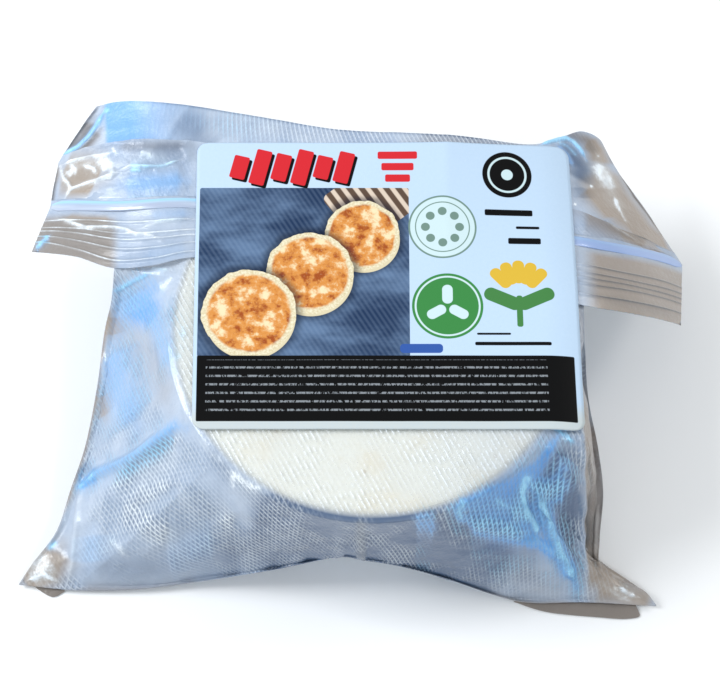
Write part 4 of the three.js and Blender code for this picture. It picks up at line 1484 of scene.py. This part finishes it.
def band_mesh(label):
    """Two skins of film with raised ribs, welded along their edges."""
    rows = BAND_ROWS + BAND_UNDER_ROWS
    mesh = mesh_grid(BAND_COLUMNS, rows)
    flat, cover, warm, tone, gleam = new_layers(mesh, "cover", "warm", "tone", "gleam")
    sheet = ZipSheet()
    for vert in mesh.verts:
        along, row = vert.co.x, round(vert.co.y * rows)
        upper = row <= BAND_ROWS
        share = row / BAND_ROWS if upper else 1 - (row - BAND_ROWS) / BAND_UNDER_ROWS
        across = BAND_REACH * share
        plan = sheet.at(along, across)
        loose = 1 - under_label(plan.x, label)
        over_stack = 1 - smooth(plan.xy.length, AREPA_RADIUS - 4, AREPA_RADIUS + 8)
        end = min(1.0, along * 30, (1 - along) * 30) * min(1.0, share * 12, (1 - share) * 12)
        height = top_height(plan.x, plan.y) + SHEET_RAISE
        if upper:
            away = rib_distance(along, across)
            crest = math.exp(-(away / RIB_WIDTH) ** 2)
            line = math.exp(-(away / RIB_GLINT_WIDTH) ** 2)
            height += RIB_HEIGHT * crest * (0.25 + 0.75 * loose)
            # The band's ends take the painted brown reflection; on the left the ribs' crests get
            # painted highlights and the low part painted shade, and on the right the ribs get dark
            # lines of painted shade.
            left_end = smooth(-plan.x, *BAND_LEFT_END)
            right_end = smooth(plan.x, *BAND_RIGHT_END)
            low = 1 - smooth(across, 0.6, 0.9)
            vert[warm] = left_end * low + right_end * (1 - smooth(across, 0.8, 0.95))
            fading = 0.85 + 0.9 * noise.noise(Vector((plan.x * 0.09, across * 9, 0)))
            vert[gleam] = fading * line * smooth(-plan.x, 40, 44)
            vert[tone] = -0.9 * line * right_end - 0.45 * left_end * low
        else:
            height -= end * loose * (1 - over_stack) * BAND_DROP + BAND_THICKNESS * end
        vert[cover] = BAND_COVER
        vert[flat] = Vector((along * SHEET_LENGTH, across * BAND_FLAT_WIDTH, 0))
        vert.co = (plan.x, plan.y, height)
    lift = add_folds(mesh, BAND_FOLDS)
    for index, vert in enumerate(mesh.verts):
        x, y, z = vert.co
        loose = 1 - under_label(x, label)
        ripple = 0.7 * noise.noise(Vector((x * 0.05, y * 0.14, 3.0)))
        vert.co = placed(x, y, z + loose * (lift[index] + ripple * smooth(abs(x), 50, 62)))
    return mesh


def lip_mesh(label, start, reach, folds, crumple=0.0):
    """One open lip above the track. A crumpled one lies over the one that isn't."""
    mesh = mesh_grid(LIP_COLUMNS, LIP_ROWS)
    flat, cover = new_layers(mesh, "cover")
    sheet = ZipSheet()
    shares = []
    for vert in mesh.verts:
        along, share = vert.co.x, vert.co.y
        end = float(np.interp(along, *zip(*reach)))
        across = start + (end - start) * share
        plan = sheet.at(along, across)
        shares.append(share)
        vert.co = (plan.x, plan.y, top_height(plan.x, plan.y) + SHEET_RAISE)
        shift = LIP_PATTERN_SHIFT * crumple
        vert[flat] = Vector((along * SHEET_LENGTH + shift, across * LIP_FLAT_WIDTH, 0))
        vert[cover] = 1.0
    lift = add_folds(mesh, folds)
    for index, vert in enumerate(mesh.verts):
        x, y, z = vert.co
        loose = max(1 - under_label(x, label), 0.6 * smooth(y, 54, 57))
        spot = Vector((x * 0.08, y * 0.12, 2.0))
        ripple = 0.6 * (noise.noise(spot) + 0.4 * crinkle(spot * 1.3, 1.2))
        extra = lift[index]
        if crumple:
            amount = crumple * (1 - smooth(x, 36, 54))
            rough = noise.noise(spot * 2.3) + 0.5 * crinkle(spot * 2.1, 1.0)
            extra = 0.25 + max(0.0, extra + amount * rough)
        rise = smooth(shares[index], 0.0, 0.2) * (extra + ripple)
        vert.co = placed(x, y, z + loose * rise + LIP_GAP * bool(crumple))
    return mesh


def track_mesh(label):
    """A rounded bead along the zip, drawn in to a point at each end."""
    mesh = mesh_grid(TRACK_COLUMNS, TRACK_SIDES)
    flat, tone, gleam = new_layers(mesh, "tone", "gleam")
    sheet = ZipSheet()
    for vert in mesh.verts:
        along, turn = vert.co.x, vert.co.y * math.tau
        centre, ahead = sheet.at(along, 1.0), sheet.at(min(along + 0.01, 1.0), 1.0)
        back = sheet.at(max(along - 0.01, 0.0), 1.0)
        out = (ahead - back).normalized().cross(Vector((0, 0, 1)))
        end = math.sqrt(max(0.0, min(1.0, along * 60, (1 - along) * 60)))
        squeeze = 1 - 0.72 * under_label(centre.x, label)
        point = centre + out * TRACK_HALF_WIDTH * end * math.cos(turn)
        height = top_height(point.x, point.y) + SHEET_RAISE + TRACK_RISE * squeeze
        height += TRACK_HALF_HEIGHT * end * squeeze * math.sin(turn)
        # A painted highlight round the bead, which fades where the bead turns bluer towards the
        # right.
        glint = math.exp(-((turn - TRACK_GLINT[0]) / TRACK_GLINT[1]) ** 2)
        vert[flat] = Vector((along * SHEET_LENGTH, turn, 0))
        vert[tone] = smooth(point.x, 40, 60)
        vert[gleam] = glint * (1 - 0.8 * vert[tone])
        vert.co = placed(point.x, point.y, height)
    return mesh


# Label ----------------------------------------------------------------------------

LABEL_COLUMNS = 110
LABEL_ROWS = 96
LABEL_THICKNESS = 0.22
LABEL_RIPPLE = 0.12

# How far the label's right corners are drawn in, and its upper right one pushed up.
LABEL_DRAW = 1.2
LABEL_LIFT = 2.4


def label_mesh(label):
    """Label paper bent over the film under it, with round corners."""
    half_width, half_length = label.width / (2 * MM), label.length / (2 * MM)
    corner = label.corner / MM
    mesh = mesh_grid(LABEL_COLUMNS, LABEL_ROWS)
    flat, = new_layers(mesh)
    for vert in mesh.verts:
        across, up = 2 * vert.co.x - 1, 2 * vert.co.y - 1
        y = half_length * up * (1.25 - 0.25 * up * up)
        over = max(0.0, abs(y) - (half_length - corner))
        inset = corner - math.sqrt(max(0.0, corner ** 2 - over ** 2))
        x = across * (half_width - inset)
        vert[flat] = Vector((x + half_width, y + half_length, 0))
        drawn_in = LABEL_DRAW * up * max(across, 0.0)
        raised = LABEL_LIFT * max(up, 0.0) * max(across, 0.0) ** 2
        px, py = x + LABEL_CENTRE.x - drawn_in, y + LABEL_CENTRE.y + raised
        ripple = LABEL_RIPPLE * (1 + noise.noise(Vector((px * 0.05, py * 0.07, 8.0))))
        height = top_height(px, py) + LABEL_RAISE + ripple
        vert.co = placed(px, py, height)
    bmesh.ops.recalc_face_normals(mesh, faces=mesh.faces)
    if sum(face.normal.z for face in mesh.faces) < 0:
        bmesh.ops.reverse_faces(mesh, faces=mesh.faces)
    bmesh.ops.solidify(mesh, geom=mesh.faces[:], thickness=LABEL_THICKNESS * MM)
    return mesh


# Operators ------------------------------------------------------------------------

class BAG_OT_arepas(bpy.types.Operator):
    """Add the leaning stack of arepas"""
    bl_idname = "arepa_bag.add_arepas"
    bl_label = "Add Arepas"

    def execute(self, context):
        settings = context.scene.arepa_stack
        dough = arepa_dough(settings)
        for index in range(AREPA_COUNT):
            piece = finish_mesh(arepa_mesh(index, settings), f"arepa_{index + 1}", dough)
            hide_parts("bag")
        return {"FINISHED"}


class BAG_OT_film(bpy.types.Operator):
    """Add the bag's film round the stack"""
    bl_idname = "arepa_bag.add_film"
    bl_label = "Add Film"

    def execute(self, context):
        scene = context.scene
        material = clear_film("bag_film", scene.arepa_film, scene.arepa_film.slack)
        piece = finish_mesh(film_mesh(scene.arepa_label), "bag_film", material)
        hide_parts("bag")
        plain = clear_film("flap_film", scene.arepa_film, 0.92, crossing=0.0, emboss=0.0, coat=0.3)
        for index, (outer, inner) in enumerate(TIP_FLAPS):
            flap = finish_mesh(flap_mesh(outer, inner), f"tip_flap_{index + 1}", plain)
            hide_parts("bag")
        return {"FINISHED"}


class BAG_OT_zip(bpy.types.Operator):
    """Add the ribbed band, the zip track and the two lips"""
    bl_idname = "arepa_bag.add_zip"
    bl_label = "Add Zip"

    def execute(self, context):
        scene = context.scene
        label, film = scene.arepa_label, scene.arepa_film
        band = clear_film("band_film", film, 0.85, crossing=0.0, emboss=0.0, coat=0.3)
        lip = clear_film("lip_film", film, 0.94, crossing=0.5, emboss=0.15, coat=0.1)
        back = lip_mesh(label, BACK_LIP_START, BACK_LIP_REACH, BACK_LIP_FOLDS)
        front = lip_mesh(
            label, FRONT_LIP_START, FRONT_LIP_REACH, FRONT_LIP_FOLDS, FRONT_LIP_CRUMPLE,
        )
        pieces = (
            finish_mesh(band_mesh(label), "zip_band", band, merge=0.01 * MM),
            finish_mesh(back, "back_lip", lip),
            finish_mesh(front, "front_lip", lip),
            finish_mesh(track_mesh(label), "zip_track", track_plastic(), merge=0.005 * MM),
        )
        for piece in pieces:
            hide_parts("bag")
        return {"FINISHED"}


class BAG_OT_label(bpy.types.Operator):
    """Add the printed label"""
    bl_idname = "arepa_bag.add_label"
    bl_label = "Add Label"

    def execute(self, context):
        label = context.scene.arepa_label
        piece = finish_mesh(label_mesh(label), "label_sheet", label_print(label))
        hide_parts("label")
        return {"FINISHED"}


# Soft lights: name, place, size, the setting that holds its power, and colour.
SOFT_LIGHTS = (
    ("key", (-0.8, 0.12, 0.75), (0.45, 0.45), "key_power", (0.94, 0.97, 1.0)),
    ("window", (0.35, -0.75, 0.8), (0.18, 0.3), "fill_power", (0.8, 0.92, 1.0)),
    ("rim", (0.75, 0.3, 0.6), (0.3, 0.3), "fill_power", (1.0, 0.97, 0.93)),
)
ROOM_COLOUR = (0.94, 0.97, 1.0, 1)
ROOM_STRENGTH = 0.62
FLOOR_HALF_SIZE = 3.0


def add_soft_light(name, place, aim, size, power, colour):
    """A soft rectangular light there, turned towards the aim."""
    data = bpy.data.lights.new(name, "AREA")
    data.shape = "RECTANGLE"
    data.size, data.size_y = size
    data.energy = power
    data.color = colour
    light = bpy.data.objects.new(name, data)
    light.location = place
    light.rotation_mode = "QUATERNION"
    light.rotation_quaternion = (aim - Vector(place)).to_track_quat("-Z", "Y")
    bpy.context.scene.collection.objects.link(light)


class BAG_OT_stage(bpy.types.Operator):
    """Add the floor, the soft lights and the camera"""
    bl_idname = "arepa_bag.add_stage"
    bl_label = "Add Stage"

    def execute(self, context):
        scene = context.scene
        stage = scene.arepa_stage
        self.add_floor()
        self.add_lights(scene, stage)
        self.add_camera(scene, stage)
        scene.view_settings.view_transform = "Standard"
        return {"FINISHED"}

    def add_floor(self):
        mesh = bmesh.new()
        bmesh.ops.create_grid(mesh, x_segments=8, y_segments=8, size=FLOOR_HALF_SIZE)
        data = bpy.data.meshes.new("studio_floor")
        mesh.to_mesh(data)
        mesh.free()
        data.materials.append(studio_floor())
        floor = bpy.data.objects.new("studio_floor", data)
        bpy.context.scene.collection.objects.link(floor)

    def add_lights(self, scene, stage):
        aim = placed(0, 0, TOP_Z / 2)
        for name, place, size, power, colour in SOFT_LIGHTS:
            add_soft_light(name, place, aim, size, getattr(stage, power), colour)
        world = bpy.data.worlds.new("studio")
        world.use_nodes = True
        background = world.node_tree.nodes["Background"]
        background.inputs["Color"].default_value = ROOM_COLOUR
        background.inputs["Strength"].default_value = ROOM_STRENGTH
        scene.world = world

    def add_camera(self, scene, stage):
        angle = stage.height_angle
        back = Vector((0, -math.cos(angle), math.sin(angle)))
        right = Vector((1, 0, 0))
        up = back.cross(right)
        off_centre = right * CAMERA_OFFSET[0] * MM + up * CAMERA_OFFSET[1] * MM
        data = bpy.data.cameras.new("camera")
        data.lens = stage.lens
        camera = bpy.data.objects.new("camera", data)
        camera.location = placed(0, 0, TOP_Z) + back * stage.distance + off_centre
        camera.rotation_mode = "QUATERNION"
        camera.rotation_quaternion = (-back).to_track_quat("-Z", "Y")
        scene.collection.objects.link(camera)
        scene.camera = camera


class BAG_PT_panel(bpy.types.Panel):
    """Lists the settings and the operators that use them"""
    bl_idname = "BAG_PT_panel"
    bl_label = "Bag of Arepas"
    bl_space_type = "VIEW_3D"
    bl_region_type = "UI"
    bl_category = "Arepas"

    def draw(self, context):
        for name, group in SETTINGS.items():
            settings = getattr(context.scene, name)
            box = self.layout.box()
            for key in group.__annotations__:
                box.prop(settings, key)
        for operator in OPERATORS:
            self.layout.operator(operator.bl_idname)


OPERATORS = (BAG_OT_arepas, BAG_OT_film, BAG_OT_zip, BAG_OT_label, BAG_OT_stage)


def register():
    for name, group in SETTINGS.items():
        bpy.utils.register_class(group)
        setattr(bpy.types.Scene, name, bpy.props.PointerProperty(type=group))
    for entry in (*OPERATORS, BAG_PT_panel):
        bpy.utils.register_class(entry)


def unregister():
    for entry in (BAG_PT_panel, *reversed(OPERATORS)):
        bpy.utils.unregister_class(entry)
    for name, group in SETTINGS.items():
        delattr(bpy.types.Scene, name)
        bpy.utils.unregister_class(group)


def main():
    register()
    for operator in OPERATORS:
        group, name = operator.bl_idname.split(".")
        getattr(getattr(bpy.ops, group), name)()
    bpy.context.view_layer.update()


if __name__ == "__main__":
    main()
